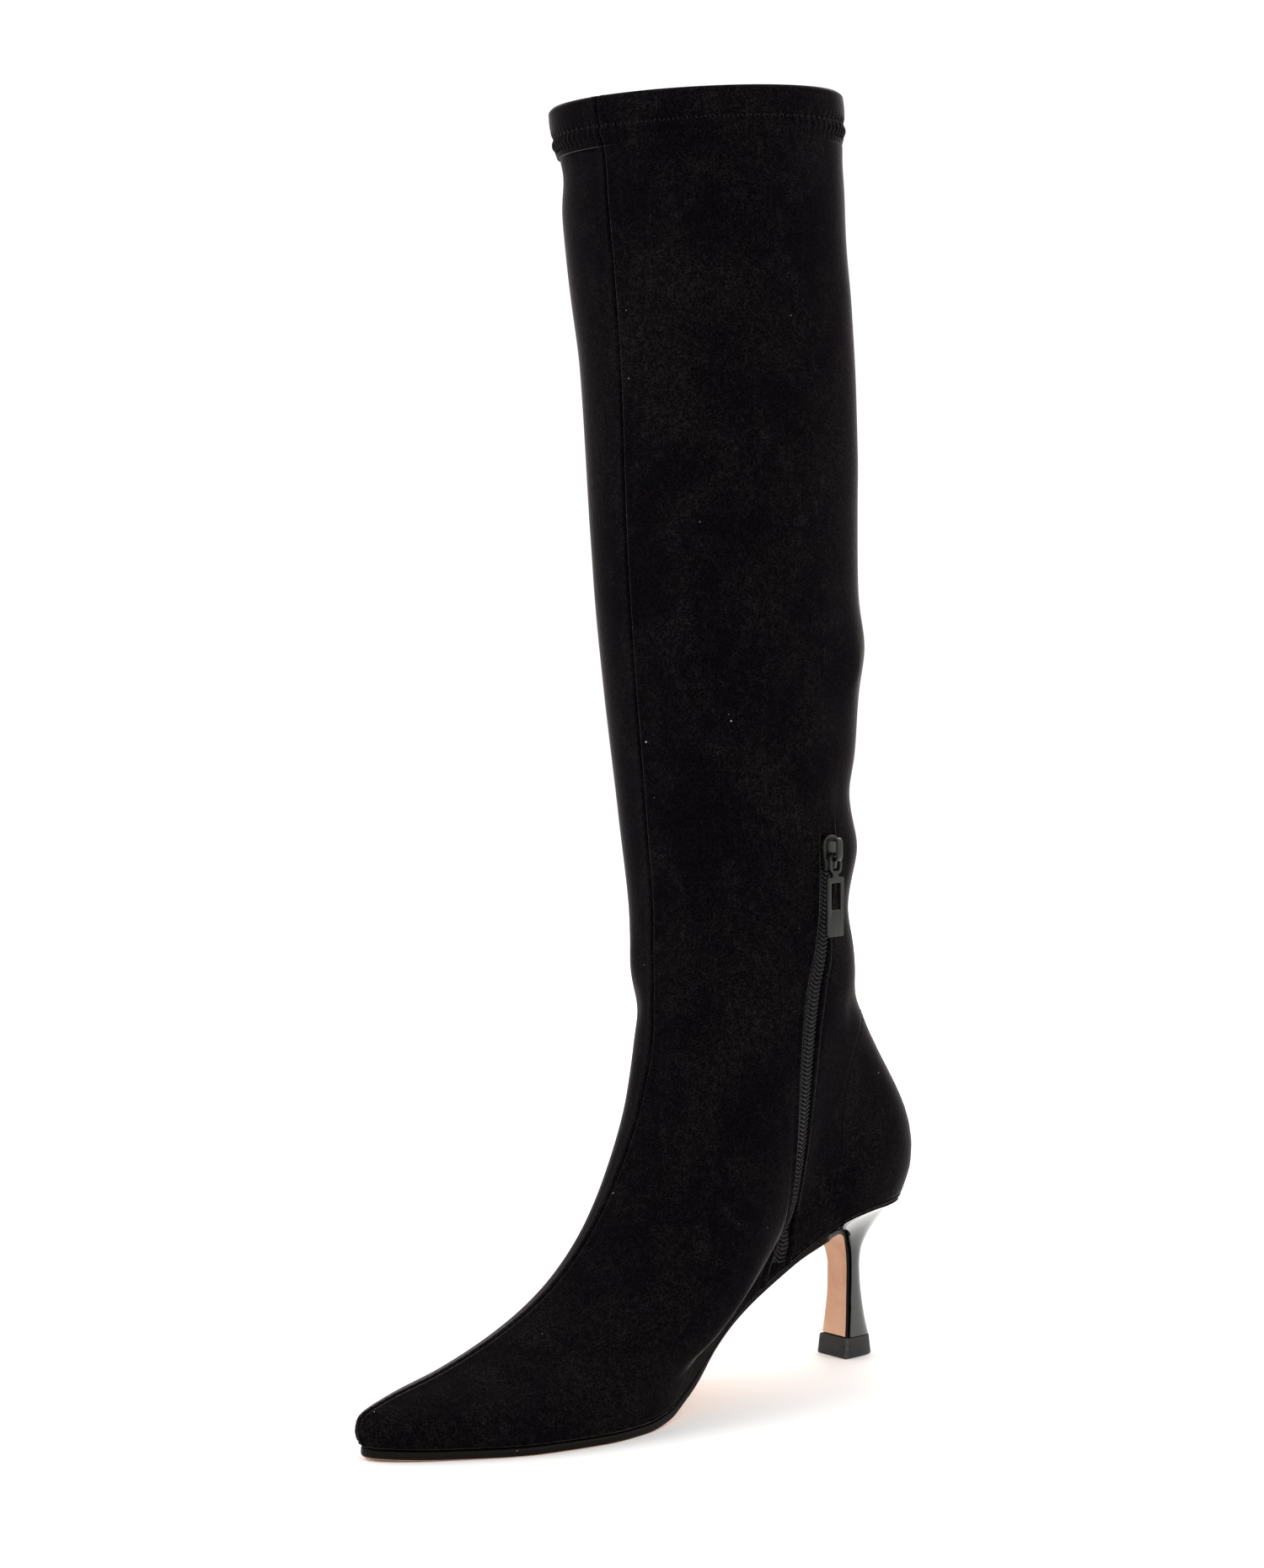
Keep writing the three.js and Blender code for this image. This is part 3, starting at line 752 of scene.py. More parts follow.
def tidy(mesh: bpy.types.Mesh, sharp_deg: float, merge: float = 1e-7) -> None:
    """Merges doubles, turns the faces out and shades the mesh smooth.

    Args:
        mesh: The mesh.
        sharp_deg: Angle beyond which an edge stays sharp.
        merge: Distance within which points are one, metres.
    """
    bm = bmesh.new()
    bm.from_mesh(mesh)
    bmesh.ops.remove_doubles(bm, verts=bm.verts, dist=merge)
    bmesh.ops.dissolve_degenerate(bm, edges=bm.edges, dist=merge)
    bmesh.ops.recalc_face_normals(bm, faces=bm.faces)
    bm.to_mesh(mesh)
    bm.free()
    shade(mesh, sharp_deg)
    mesh.update()


def dress(piece: Piece, body: str, slot: Slot, *replaced: str) -> Piece:
    """Says which body a piece rides on and which CAD nodes it stands for.

    Args:
        piece: The finished piece.
        body: The CAD body.
        slot: The record's material slot; not used.
        replaced: The CAD nodes.

    Returns:
        The piece.
    """
    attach(piece, body)
    if replaced:
        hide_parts(*replaced)
    LOG.info("%s: %d triangles", piece.name, sum(len(p.vertices) - 2 for p in piece.data.polygons))
    return piece


# ---------------------------------------------------------------- shader nodes


class NodeBench:
    """Adds and joins the nodes of one tree."""

    def __init__(self, tree: bpy.types.NodeTree) -> None:
        """Works on a tree.

        Args:
            tree: The tree.
        """
        self.tree = tree

    def feed(self, socket: Socket, value: Any) -> None:
        """Joins a socket to an output, or sets its value.

        Args:
            socket: The input.
            value: An output socket, a number or a tuple.
        """
        if isinstance(value, Socket):
            self.tree.links.new(value, socket)
        elif value is not None:
            if isinstance(value, tuple) and len(value) == 3 and socket.type == "RGBA":
                value = (*value, 1.0)
            socket.default_value = value

    def add(self, kind: str, inputs: dict[str, Any] | None = None, **settings: Any) -> bpy.types.Node:
        """Adds a node.

        Args:
            kind: Its type.
            inputs: Values or outputs for its inputs, by name.
            settings: Its own settings.

        Returns:
            The node.
        """
        node = self.tree.nodes.new(kind)
        for name, value in settings.items():
            setattr(node, name, value)
        for name, value in (inputs or {}).items():
            self.feed(node.inputs[name], value)
        return node

    def math(self, operation: str, a: Any, b: Any = None, clamp: bool = False) -> Socket:
        """One sum of two values.

        Args:
            operation: The Math node's operation.
            a: First value.
            b: Second value, where it has one.
            clamp: Whether to keep it from 0 to 1.

        Returns:
            The result.
        """
        node = self.add("ShaderNodeMath", operation=operation, use_clamp=clamp)
        self.feed(node.inputs[0], a)
        self.feed(node.inputs[1], b)
        return node.outputs[0]

    def times(self, a: Any, b: Any) -> Socket:
        """The product of two values."""
        return self.math("MULTIPLY", a, b)

    def plus(self, a: Any, b: Any) -> Socket:
        """The sum of two values."""
        return self.math("ADD", a, b)

    def minus(self, a: Any, b: Any) -> Socket:
        """The first value less the second."""
        return self.math("SUBTRACT", a, b)

    def blend(self, factor: Any, a: Any, b: Any, kind: str = "MIX") -> Socket:
        """Mixes two colours.

        Args:
            factor: Share of the second.
            a: First colour.
            b: Second colour.
            kind: The way they mix.

        Returns:
            The colour.
        """
        node = self.add("ShaderNodeMix", data_type="RGBA", blend_type=kind)
        self.feed(node.inputs[0], factor)
        self.feed(node.inputs[6], a)
        self.feed(node.inputs[7], b)
        return node.outputs[2]

    def noise(
        self, vector: Any, scale: Any, detail: float = 2.0, rough: float = 0.5, warp: float = 0.0
    ) -> Socket:
        """A noise value over the surface.

        Args:
            vector: Where it is read.
            scale: Its waves per metre.
            detail: How many finer layers.
            rough: How strong they are.
            warp: How far it folds.

        Returns:
            The value.
        """
        inputs = {"Vector": vector, "Scale": scale, "Detail": detail, "Roughness": rough, "Distortion": warp}
        return self.add("ShaderNodeTexNoise", inputs).outputs[0]

    def fit(self, value: Any, low: float, high: float, to_low: float = 0.0, to_high: float = 1.0) -> Socket:
        """Maps a range softly onto another.

        Args:
            value: The value.
            low: Start of its range.
            high: End of its range.
            to_low: What the start becomes.
            to_high: What the end becomes.

        Returns:
            The mapped value.
        """
        node = self.add(
            "ShaderNodeMapRange",
            {"From Min": low, "From Max": high, "To Min": to_low, "To Max": to_high},
            interpolation_type="SMOOTHSTEP",
        )
        self.feed(node.inputs["Value"], value)
        return node.outputs["Result"]

    def place(self) -> Socket:
        """Object coordinates."""
        return self.add("ShaderNodeTexCoord").outputs["Object"]

    def stretched(self, x: float, y: float, z: float) -> Socket:
        """Object coordinates scaled along each axis."""
        node = self.add("ShaderNodeMapping", {"Vector": self.place()})
        node.inputs["Scale"].default_value = (x, y, z)
        return node.outputs[0]


class SharedEffect:
    """A shader node group that several finishes use, built once."""

    name = "effect"
    inputs: tuple[tuple[str, str, Any], ...] = ()
    outputs: tuple[tuple[str, str], ...] = ()

    def __init__(self) -> None:
        """Builds the group."""
        self.tree = bpy.data.node_groups.new(self.name, "ShaderNodeTree")
        for label, kind, value in self.inputs:
            socket = self.tree.interface.new_socket(label, in_out="INPUT", socket_type=kind)
            socket.default_value = (*value, 1.0) if isinstance(value, tuple) else value
        for label, kind in self.outputs:
            self.tree.interface.new_socket(label, in_out="OUTPUT", socket_type=kind)
        bench = NodeBench(self.tree)
        given = self.tree.nodes.new("NodeGroupInput").outputs
        put = self.tree.nodes.new("NodeGroupOutput").inputs
        for label, socket in self.wire(bench, given).items():
            self.tree.links.new(socket, put[label])

    def wire(self, bench: NodeBench, given: Any) -> dict[str, Socket]:
        """Joins the group's nodes.

        Args:
            bench: The group's tree.
            given: The group's inputs.

        Returns:
            What each output takes.
        """
        raise NotImplementedError

    def use(self, bench: NodeBench, **values: Any) -> Any:
        """Places the group in a material.

        Args:
            bench: The material's tree.
            values: Inputs by name, with _ for a space.

        Returns:
            Its outputs.
        """
        node = bench.add("ShaderNodeGroup")
        node.node_tree = self.tree
        for name, value in values.items():
            bench.feed(node.inputs[name.replace("_", " ")], value)
        return node.outputs


COLOUR, VALUE = "NodeSocketColor", "NodeSocketFloat"


class Nap(SharedEffect):
    """Short brushed fibres: mottled depth, soft hand-swept patches and a fine fibre height."""

    name = "Nap"
    inputs = (
        ("Deep", COLOUR, (0.004, 0.003, 0.005)),
        ("Warm", COLOUR, (0.010, 0.008, 0.008)),
        ("Brushed", COLOUR, (0.02, 0.018, 0.017)),
        ("Patch Scale", VALUE, 24.0),
        ("Fibre Scale", VALUE, 1500.0),
        ("Sweep", VALUE, 0.5),
    )
    outputs = (("Color", COLOUR), ("Height", VALUE), ("Rough", VALUE))

    def wire(self, bench: NodeBench, given: Any) -> dict[str, Socket]:
        """Joins the nap's nodes.

        Args:
            bench: The group's tree.
            given: The group's inputs.

        Returns:
            The colour, the fibres' height and a roughness.
        """
        where = bench.place()
        patch = bench.fit(bench.noise(where, given["Patch Scale"], 5.0, 0.66, 0.3), 0.4, 0.62)
        swept = bench.noise(bench.stretched(1.0, 1.0, 0.7), 70.0, 5.0, 0.66, 0.4)
        swept = bench.times(bench.fit(swept, 0.44, 0.72), given["Sweep"])
        fibre = bench.noise(where, given["Fibre Scale"], 3.0, 0.65)
        clump = bench.noise(where, bench.times(given["Fibre Scale"], 0.3), 2.0, 0.6)
        colour = bench.blend(patch, given["Deep"], given["Warm"])
        colour = bench.blend(swept, colour, given["Brushed"])
        speckle = bench.fit(fibre, 0.38, 0.66, 0.2, 2.3)
        mottle = bench.fit(clump, 0.36, 0.64, 0.62, 1.45)
        depth = bench.times(speckle, mottle)
        grey = bench.add("ShaderNodeCombineColor")
        for k in range(3):
            bench.feed(grey.inputs[k], depth)
        colour = bench.blend(1.0, colour, grey.outputs[0], "MULTIPLY")
        height = bench.plus(bench.times(fibre, 0.6), bench.times(clump, 0.8))
        rough = bench.fit(clump, 0.3, 0.7, 0.86, 1.0)
        return {"Color": colour, "Height": height, "Rough": rough}


class Lint(SharedEffect):
    """Sparse pale specks of lint on the surface."""

    name = "Lint"
    inputs = (
        ("Base", COLOUR, (0.01, 0.01, 0.01)),
        ("Speck", COLOUR, (0.4, 0.39, 0.37)),
        ("Scale", VALUE, 130.0),
        ("Size", VALUE, 0.03),
        ("Share", VALUE, 0.5),
    )
    outputs = (("Color", COLOUR), ("Mask", VALUE))

    def wire(self, bench: NodeBench, given: Any) -> dict[str, Socket]:
        """Joins the lint's nodes.

        Args:
            bench: The group's tree.
            given: The group's inputs.

        Returns:
            The colour with the specks on it, and where they are.
        """
        cells = bench.add("ShaderNodeTexVoronoi", {"Vector": bench.place(), "Scale": given["Scale"]})
        parts = bench.add("ShaderNodeSeparateColor", {"Color": cells.outputs["Color"]})
        near = bench.math("LESS_THAN", cells.outputs["Distance"], bench.times(
            given["Size"], bench.fit(parts.outputs[1], 0.0, 1.0, 0.4, 1.3)))
        chosen = bench.math("LESS_THAN", parts.outputs[0], given["Share"])
        mask = bench.times(bench.times(near, chosen), parts.outputs[2])
        return {"Color": bench.blend(mask, given["Base"], given["Speck"]), "Mask": mask}


class Grain(SharedEffect):
    """Fine moulded or pressed grain, with slow changes of gloss."""

    name = "Grain"
    inputs = (("Scale", VALUE, 900.0), ("Low", VALUE, 0.3), ("High", VALUE, 0.5), ("Smear", VALUE, 40.0))
    outputs = (("Height", VALUE), ("Rough", VALUE))

    def wire(self, bench: NodeBench, given: Any) -> dict[str, Socket]:
        """Joins the grain's nodes.

        Args:
            bench: The group's tree.
            given: The group's inputs.

        Returns:
            The grain's height and a roughness between Low and High.
        """
        where = bench.place()
        height = bench.noise(where, given["Scale"], 3.0, 0.6)
        smear = bench.fit(bench.noise(where, given["Smear"], 4.0, 0.6, 0.5), 0.3, 0.7)
        spread = bench.minus(given["High"], given["Low"])
        rough = bench.plus(given["Low"], bench.times(smear, spread))
        return {"Height": height, "Rough": rough}


class EdgeWear(SharedEffect):
    """A paler, worn line where edges stand out, broken up by noise."""

    name = "EdgeWear"
    inputs = (
        ("Base", COLOUR, (0.1, 0.1, 0.1)),
        ("Worn", COLOUR, (0.4, 0.4, 0.4)),
        ("Start", VALUE, 0.52),
        ("Full", VALUE, 0.6),
    )
    outputs = (("Color", COLOUR), ("Mask", VALUE))

    def wire(self, bench: NodeBench, given: Any) -> dict[str, Socket]:
        """Joins the wear's nodes.

        Args:
            bench: The group's tree.
            given: The group's inputs.

        Returns:
            The worn colour, and how worn each place is.
        """
        edge = bench.add("ShaderNodeNewGeometry").outputs["Pointiness"]
        span = {"Value": edge, "From Min": given["Start"], "From Max": given["Full"]}
        reach = bench.add("ShaderNodeMapRange", span)
        broken = bench.fit(bench.noise(bench.place(), 700.0, 3.0, 0.6), 0.3, 0.6, 0.3, 1.0)
        mask = bench.math("MULTIPLY", reach.outputs["Result"], broken, clamp=True)
        return {"Color": bench.blend(mask, given["Base"], given["Worn"]), "Mask": mask}


class Weave(SharedEffect):
    """Crossed threads of a woven tape or lining, laid along the piece's own map."""

    name = "Weave"
    inputs = (("Across", VALUE, 1400.0), ("Along", VALUE, 1400.0))
    outputs = (("Height", VALUE),)

    def wire(self, bench: NodeBench, given: Any) -> dict[str, Socket]:
        """Joins the weave's nodes.

        Args:
            bench: The group's tree.
            given: The group's inputs.

        Returns:
            The threads' height.
        """
        where = bench.add("ShaderNodeSeparateXYZ")
        bench.feed(where.inputs[0], bench.add("ShaderNodeUVMap").outputs[0])
        warp = bench.math("SINE", bench.times(where.outputs[0], given["Across"]))
        weft = bench.math("SINE", bench.times(where.outputs[1], given["Along"]))
        return {"Height": bench.fit(bench.times(warp, weft), -1.0, 1.0)}


@dataclass
class Effects:
    """The shared effects, each built once."""

    nap: Nap = field(default_factory=Nap)
    lint: Lint = field(default_factory=Lint)
    grain: Grain = field(default_factory=Grain)
    wear: EdgeWear = field(default_factory=EdgeWear)
    weave: Weave = field(default_factory=Weave)


DUST = {"Scale": 420.0, "Size": 0.07, "Share": 0.35}  # how lint lies on hard surfaces


@dataclass(frozen=True)
class Finish:
    """A finish: a Principled surface whose constants stand on the shader itself.

    Attributes:
        name: The material's name.
    """

    name: str

    def start(self, **constants: Any) -> tuple[Material, NodeBench, bpy.types.Node]:
        """An empty material with its shader.

        Args:
            constants: Shader inputs by name, with _ for a space.

        Returns:
            The material, its bench and the shader node.
        """
        material = bpy.data.materials.new(self.name)
        material.use_nodes = True
        bench = NodeBench(material.node_tree)
        shader = material.node_tree.nodes["Principled BSDF"]
        for name, value in constants.items():
            bench.feed(shader.inputs[name.replace("_", " ")], value)
        return material, bench, shader

    def bump(
        self, bench: NodeBench, shader: Any, height: Any, distance: float, strength: float = 1.0
    ) -> None:
        """Turns a height into the shader's normal.

        Args:
            bench: The material's tree.
            shader: The shader.
            height: The height, about 0 to 1.
            distance: What a height of 1 means, metres.
            strength: How much of it shows.
        """
        node = bench.add("ShaderNodeBump", {"Strength": strength, "Distance": distance, "Height": height})
        bench.feed(shader.inputs["Normal"], node.outputs[0])


@dataclass(frozen=True)
class Microsuede(Finish):
    """Black stretch microsuede: a napped, light-drinking surface with a soft bloom at its edges.

    Attributes:
        deep: Colour where the nap lies away.
        warm: Colour of the browner patches.
        brushed: Colour where the nap is swept up.
        bloom: Tint of the sheen.
        bloom_weight: Strength of the sheen.
        groove: Half width of a counter seam's groove, mm.
        shoulder: How far its shoulders' crests stand from it, mm.
        shoulder_half: Half width of a shoulder, mm.
        lift: What a height of 1 means, metres.
    """

    deep: Colour = (0.0012, 0.0008, 0.0015)
    warm: Colour = (0.0027, 0.0020, 0.0023)
    brushed: Colour = (0.0050, 0.0042, 0.0046)
    bloom: Colour = (1.0, 0.90, 0.88)
    bloom_weight: float = 0.34
    groove: float = 0.7
    shoulder: float = 1.3
    shoulder_half: float = 1.1
    lift: float = 0.0004

    def make(self, effects: Effects) -> Material:
        """Builds the material.

        Args:
            effects: The shared effects.

        Returns:
            The material.
        """
        material, bench, shader = self.start(
            Specular_IOR_Level=0.03,
            Sheen_Weight=self.bloom_weight,
            Sheen_Roughness=0.2,
            Sheen_Tint=self.bloom,
        )
        nap = effects.nap.use(bench, Deep=self.deep, Warm=self.warm, Brushed=self.brushed, Sweep=0.45)
        lint = effects.lint.use(bench, Base=nap["Color"])
        bench.feed(shader.inputs["Base Color"], lint["Color"])
        bench.feed(shader.inputs["Roughness"], nap["Rough"])
        seam = bench.add("ShaderNodeSeparateXYZ")
        stored = bench.add("ShaderNodeAttribute", attribute_name="counter_seam")
        bench.feed(seam.inputs[0], stored.outputs["Vector"])
        apart = bench.math("ABSOLUTE", seam.outputs[0])
        groove = bench.fit(apart, self.groove, 0.0)
        crest = bench.math("ABSOLUTE", bench.minus(apart, self.shoulder))
        shoulder = bench.fit(crest, self.shoulder_half, 0.0)
        line = bench.minus(bench.times(shoulder, 0.5), bench.times(groove, 1.6))
        line = bench.times(line, seam.outputs[1])
        height = bench.plus(bench.times(nap["Height"], 0.42), bench.times(line, 0.15))
        height = bench.plus(height, bench.times(lint["Mask"], 0.6))
        self.bump(bench, shader, height, self.lift, 0.85)
        return material


@dataclass(frozen=True)
class Cloth(Finish):
    """A plain woven cloth.

    Attributes:
        colour: Its colour.
        dark: Its colour between the threads.
        across: Threads per unit of the map across, radians.
        along: Threads per unit of the map along, radians.
        lift: Height of a thread, metres.
    """

    colour: Colour
    dark: Colour
    across: float = 1500.0
    along: float = 1500.0
    lift: float = 0.0002

    def make(self, effects: Effects) -> Material:
        """Builds the material.

        Args:
            effects: The shared effects.

        Returns:
            The material.
        """
        material, bench, shader = self.start(Specular_IOR_Level=0.25, Sheen_Weight=0.08, Sheen_Roughness=0.5)
        weave = effects.weave.use(bench, Across=self.across, Along=self.along)["Height"]
        grain = effects.grain.use(bench, Scale=1200.0, Low=0.75, High=0.95)
        shade = bench.times(weave, bench.fit(grain["Height"], 0.3, 0.7, 0.7, 1.0))
        bench.feed(shader.inputs["Base Color"], bench.blend(shade, self.dark, self.colour))
        bench.feed(shader.inputs["Roughness"], grain["Rough"])
        self.bump(bench, shader, weave, self.lift)
        return material


@dataclass(frozen=True)
class SoleSheet(Finish):
    """Smooth tan sheet with fine pores, cloudy colour and light scuffs.

    Attributes:
        tan: Its main colour.
        pale: Its paler clouds.
        scuff: Colour of the scuffs.
    """

    tan: Colour = (0.56, 0.315, 0.195)
    pale: Colour = (0.64, 0.40, 0.265)
    scuff: Colour = (0.36, 0.19, 0.11)

    def make(self, effects: Effects) -> Material:
        """Builds the material.

        Args:
            effects: The shared effects.

        Returns:
            The material.
        """
        material, bench, shader = self.start(Specular_IOR_Level=0.35)
        where = bench.place()
        cloud = bench.fit(bench.noise(where, 60.0, 4.0, 0.6, 0.4), 0.35, 0.7)
        pores = bench.noise(where, 1800.0, 2.0, 0.6)
        rub = bench.fit(bench.noise(bench.stretched(1.0, 0.15, 1.0), 420.0, 5.0, 0.7), 0.58, 0.74, 0.0, 0.35)
        colour = bench.blend(cloud, self.tan, self.pale)
        colour = bench.blend(bench.fit(pores, 0.3, 0.7, 0.16, 0.0), colour, self.scuff)
        colour = bench.blend(rub, colour, self.scuff)
        bench.feed(shader.inputs["Base Color"], colour)
        grain = effects.grain.use(bench, Scale=1600.0, Low=0.42, High=0.6)
        bench.feed(shader.inputs["Roughness"], grain["Rough"])
        self.bump(bench, shader, grain["Height"], 0.00008, 0.6)
        return material


@dataclass(frozen=True)
class Hard(Finish):
    """A moulded, lacquered, inked or plated surface.

    Attributes:
        colour: Its colour.
        worn: Its colour along rubbed edges.
        low: Lowest roughness.
        high: Highest roughness.
        metal: Share of metal.
        level: Specular level.
        coat: Weight of a clear coat.
        scale: Grain waves per metre.
        lift: Height of the grain, metres.
        wear: Whether edges are rubbed.
    """

    colour: Colour
    worn: Colour
    low: float = 0.3
    high: float = 0.45
    metal: float = 0.0
    level: float = 0.5
    coat: float = 0.0
    scale: float = 1200.0
    lift: float = 0.00003
    wear: bool = True

    def make(self, effects: Effects) -> Material:
        """Builds the material.

        Args:
            effects: The shared effects.

        Returns:
            The material.
        """
        material, bench, shader = self.start(
            Specular_IOR_Level=self.level, Metallic=self.metal, Coat_Weight=self.coat, Coat_Roughness=0.04
        )
        colour: Any = self.colour
        if self.wear:
            colour = effects.wear.use(bench, Base=self.colour, Worn=self.worn)["Color"]
        dust = effects.lint.use(bench, Base=colour, Speck=(0.25, 0.25, 0.24), **DUST)
        bench.feed(shader.inputs["Base Color"], dust["Color"])
        grain = effects.grain.use(bench, Scale=self.scale, Low=self.low, High=self.high)
        bench.feed(shader.inputs["Roughness"], grain["Rough"])
        self.bump(bench, shader, grain["Height"], self.lift)
        return material


@dataclass(frozen=True)
class Brushed(Finish):
    """Gunmetal with a fine upright brush.

    Attributes:
        colour: The metal's colour.
        bright: Colour along the strokes.
    """

    colour: Colour
    bright: Colour

    def make(self, effects: Effects) -> Material:
        """Builds the material.

        Args:
            effects: The shared effects.

        Returns:
            The material.
        """
        material, bench, shader = self.start(Metallic=1.0)
        strokes = bench.noise(bench.stretched(1.0, 1.0, 0.04), 3600.0, 3.0, 0.6)
        metal = bench.blend(bench.fit(strokes, 0.3, 0.7), self.colour, self.bright)
        dust = effects.lint.use(bench, Base=metal, Speck=(0.3, 0.3, 0.29), **DUST)
        bench.feed(shader.inputs["Base Color"], dust["Color"])
        bench.feed(shader.inputs["Roughness"], bench.fit(strokes, 0.3, 0.7, 0.24, 0.42))
        self.bump(bench, shader, strokes, 0.00002, 0.5)
        return material


@dataclass
class Finishes:
    """Every finish of the boot, made once.

    Attributes:
        effects: The shared effects.
    """

    effects: Effects = field(default_factory=Effects)

    def __post_init__(self) -> None:
        """Makes the materials."""
        finishes = {
            "suede": Microsuede("microsuede"),
            "lining": Cloth("lining", (0.035, 0.032, 0.033), (0.010, 0.009, 0.010)),
            "sock": Cloth("sock", (0.10, 0.092, 0.09), (0.04, 0.036, 0.036), 1100.0, 1100.0),
            "tape": Cloth("zip_tape", (0.004, 0.004, 0.0045), (0.001, 0.001, 0.001), 2400.0, 2400.0),
            "thread": Hard("thread", (0.0025, 0.002, 0.0025), (0.008, 0.007, 0.008), 0.55, 0.75, level=0.06),
            # a lighter copy of the thread for the hem's upper row: its lighter colour is a painted highlight,
            # its higher specular level real shine
            "taut": Hard("thread_painted_highlight", (0.006, 0.005, 0.006), (0.02, 0.02, 0.02), 0.4, 0.6, level=0.16),
            "tan": SoleSheet("sole_sheet"),
            "ink": Hard("inked_edge", (0.004, 0.0028, 0.0025), (0.012, 0.008, 0.006), 0.35, 0.55, level=0.07),
            "lacquer": Hard(
                "heel_lacquer", (0.004, 0.0045, 0.0045), (0.02, 0.02, 0.02), 0.05, 0.12,
                coat=0.6, lift=0.000004,
            ),
            "rubber": Hard("rubber", (0.012, 0.0115, 0.011), (0.06, 0.058, 0.055), 0.5, 0.75, level=0.3),
            "coil": Hard("nylon_coil", (0.002, 0.002, 0.0023), (0.004, 0.004, 0.004), 0.1, 0.2, level=0.26),
            "gunmetal": Brushed("gunmetal", (0.030, 0.0315, 0.029), (0.045, 0.046, 0.043)),
            # a lighter copy of the gunmetal for the castings' eased edges: painted highlight
            "rubbed": Brushed("gunmetal_painted_edge_highlight", (0.085, 0.088, 0.080), (0.13, 0.13, 0.12)),
        }
        for name, finish in finishes.items():
            setattr(self, name, finish.make(self.effects))


# ---------------------------------------------------------------- geometry nodes


class PathTree:
    """A Geometry Nodes tree that makes something along a path, with named inputs."""

    def __init__(self, name: str, numbers: Sequence[str], counts: Sequence[str] = ()) -> None:
        """Starts the tree, whose inputs are the path, these and the finish.

        Args:
            name: Its name.
            numbers: Names of the inputs that are numbers.
            counts: Names of the inputs that are whole numbers.
        """
        self.tree = bpy.data.node_groups.new(name, "GeometryNodeTree")
        face = self.tree.interface
        face.new_socket("Path", in_out="INPUT", socket_type="NodeSocketGeometry")
        kinds = {**dict.fromkeys(counts, "NodeSocketInt"), **dict.fromkeys(numbers, VALUE)}
        kinds["Finish"] = "NodeSocketMaterial"
        self.ids = {
            label: face.new_socket(label, in_out="INPUT", socket_type=kind).identifier
            for label, kind in kinds.items()
        }
        face.new_socket("Made", in_out="OUTPUT", socket_type="NodeSocketGeometry")
        self.bench = NodeBench(self.tree)
        self.given = self.tree.nodes.new("NodeGroupInput").outputs
        self.put = self.tree.nodes.new("NodeGroupOutput").inputs

    def attribute(self, name: str) -> Socket:
        """A vector stored along the path."""
        node = self.bench.add("GeometryNodeInputNamedAttribute", data_type="FLOAT_VECTOR")
        node.inputs["Name"].default_value = name
        return node.outputs["Attribute"]

    def vector(self, operation: str, a: Any, b: Any = None, scale: Any = None) -> Socket:
        """One vector sum.

        Args:
            operation: The Vector Math node's operation.
            a: First vector.
            b: Second vector, where it has one.
            scale: A factor, where it has one.

        Returns:
            The result.
        """
        node = self.bench.add("ShaderNodeVectorMath", operation=operation)
        self.bench.feed(node.inputs[0], a)
        self.bench.feed(node.inputs[1], b)
        self.bench.feed(node.inputs[3], scale)
        return node.outputs[0]

    def close(self, geometry: Socket) -> None:
        """Ends the tree: real, smooth and dressed.

        Args:
            geometry: What was made.
        """
        real = self.bench.add("GeometryNodeRealizeInstances", {"Geometry": geometry}).outputs[0]
        smooth = self.bench.add("GeometryNodeSetShadeSmooth", {"Geometry": real}).outputs[0]
        finish = {"Geometry": smooth, "Material": self.given["Finish"]}
        dressed = self.bench.add("GeometryNodeSetMaterial", finish)
        self.tree.links.new(dressed.outputs[0], self.put["Made"])

    def make(self, name: str, lines: Sequence["ThreadLine"], values: dict[str, Any]) -> Piece:
        """Runs the tree along lines and keeps the result as a plain mesh.

        Args:
            name: The piece's name.
            lines: The lines.
            values: The tree's inputs by name.

        Returns:
            The piece.
        """
        holder = placed(name + "_path", ThreadLine.mesh(name, lines))
        modifier = holder.modifiers.new("make", "NODES")
        modifier.node_group = self.tree
        for label, value in values.items():
            modifier[self.ids[label]] = value
        return placed(name, with_modifiers(name, holder))


@dataclass
class ThreadLine:
    """A line in space that thread or wire follows.

    Attributes:
        points: Its points, mm.
        outward: Which way is out of the skin at each.
        closed: Whether its end joins its start.
    """

    points: Array
    outward: Array
    closed: bool = False

    @staticmethod
    def mesh(name: str, lines: Sequence["ThreadLine"]) -> bpy.types.Mesh:
        """The lines as one mesh of edges, with out and across stored at each point.

        Args:
            name: The mesh's name.
            lines: The lines.

        Returns:
            The mesh.
        """
        mesh = bpy.data.meshes.new(name + "_path")
        points, outward, across, edges, start = [], [], [], [], 0
        for line in lines:
            n = len(line.points)
            points.append(to_part(line.points))
            outward.append(line.outward)
            across.append(unit(np.cross(line.outward, np.gradient(line.points, axis=0))))
            edges += [(start + i, start + i + 1) for i in range(n - 1)]
            if line.closed:
                edges.append((start + n - 1, start))
            start += n
        mesh.from_pydata(np.concatenate(points).tolist(), edges, [])
        for label, rows in (("outward", outward), ("across", across)):
            attribute = mesh.attributes.new(label, "FLOAT_VECTOR", "POINT")
            attribute.data.foreach_set("vector", np.concatenate(rows).astype(np.float32).ravel())
        return mesh


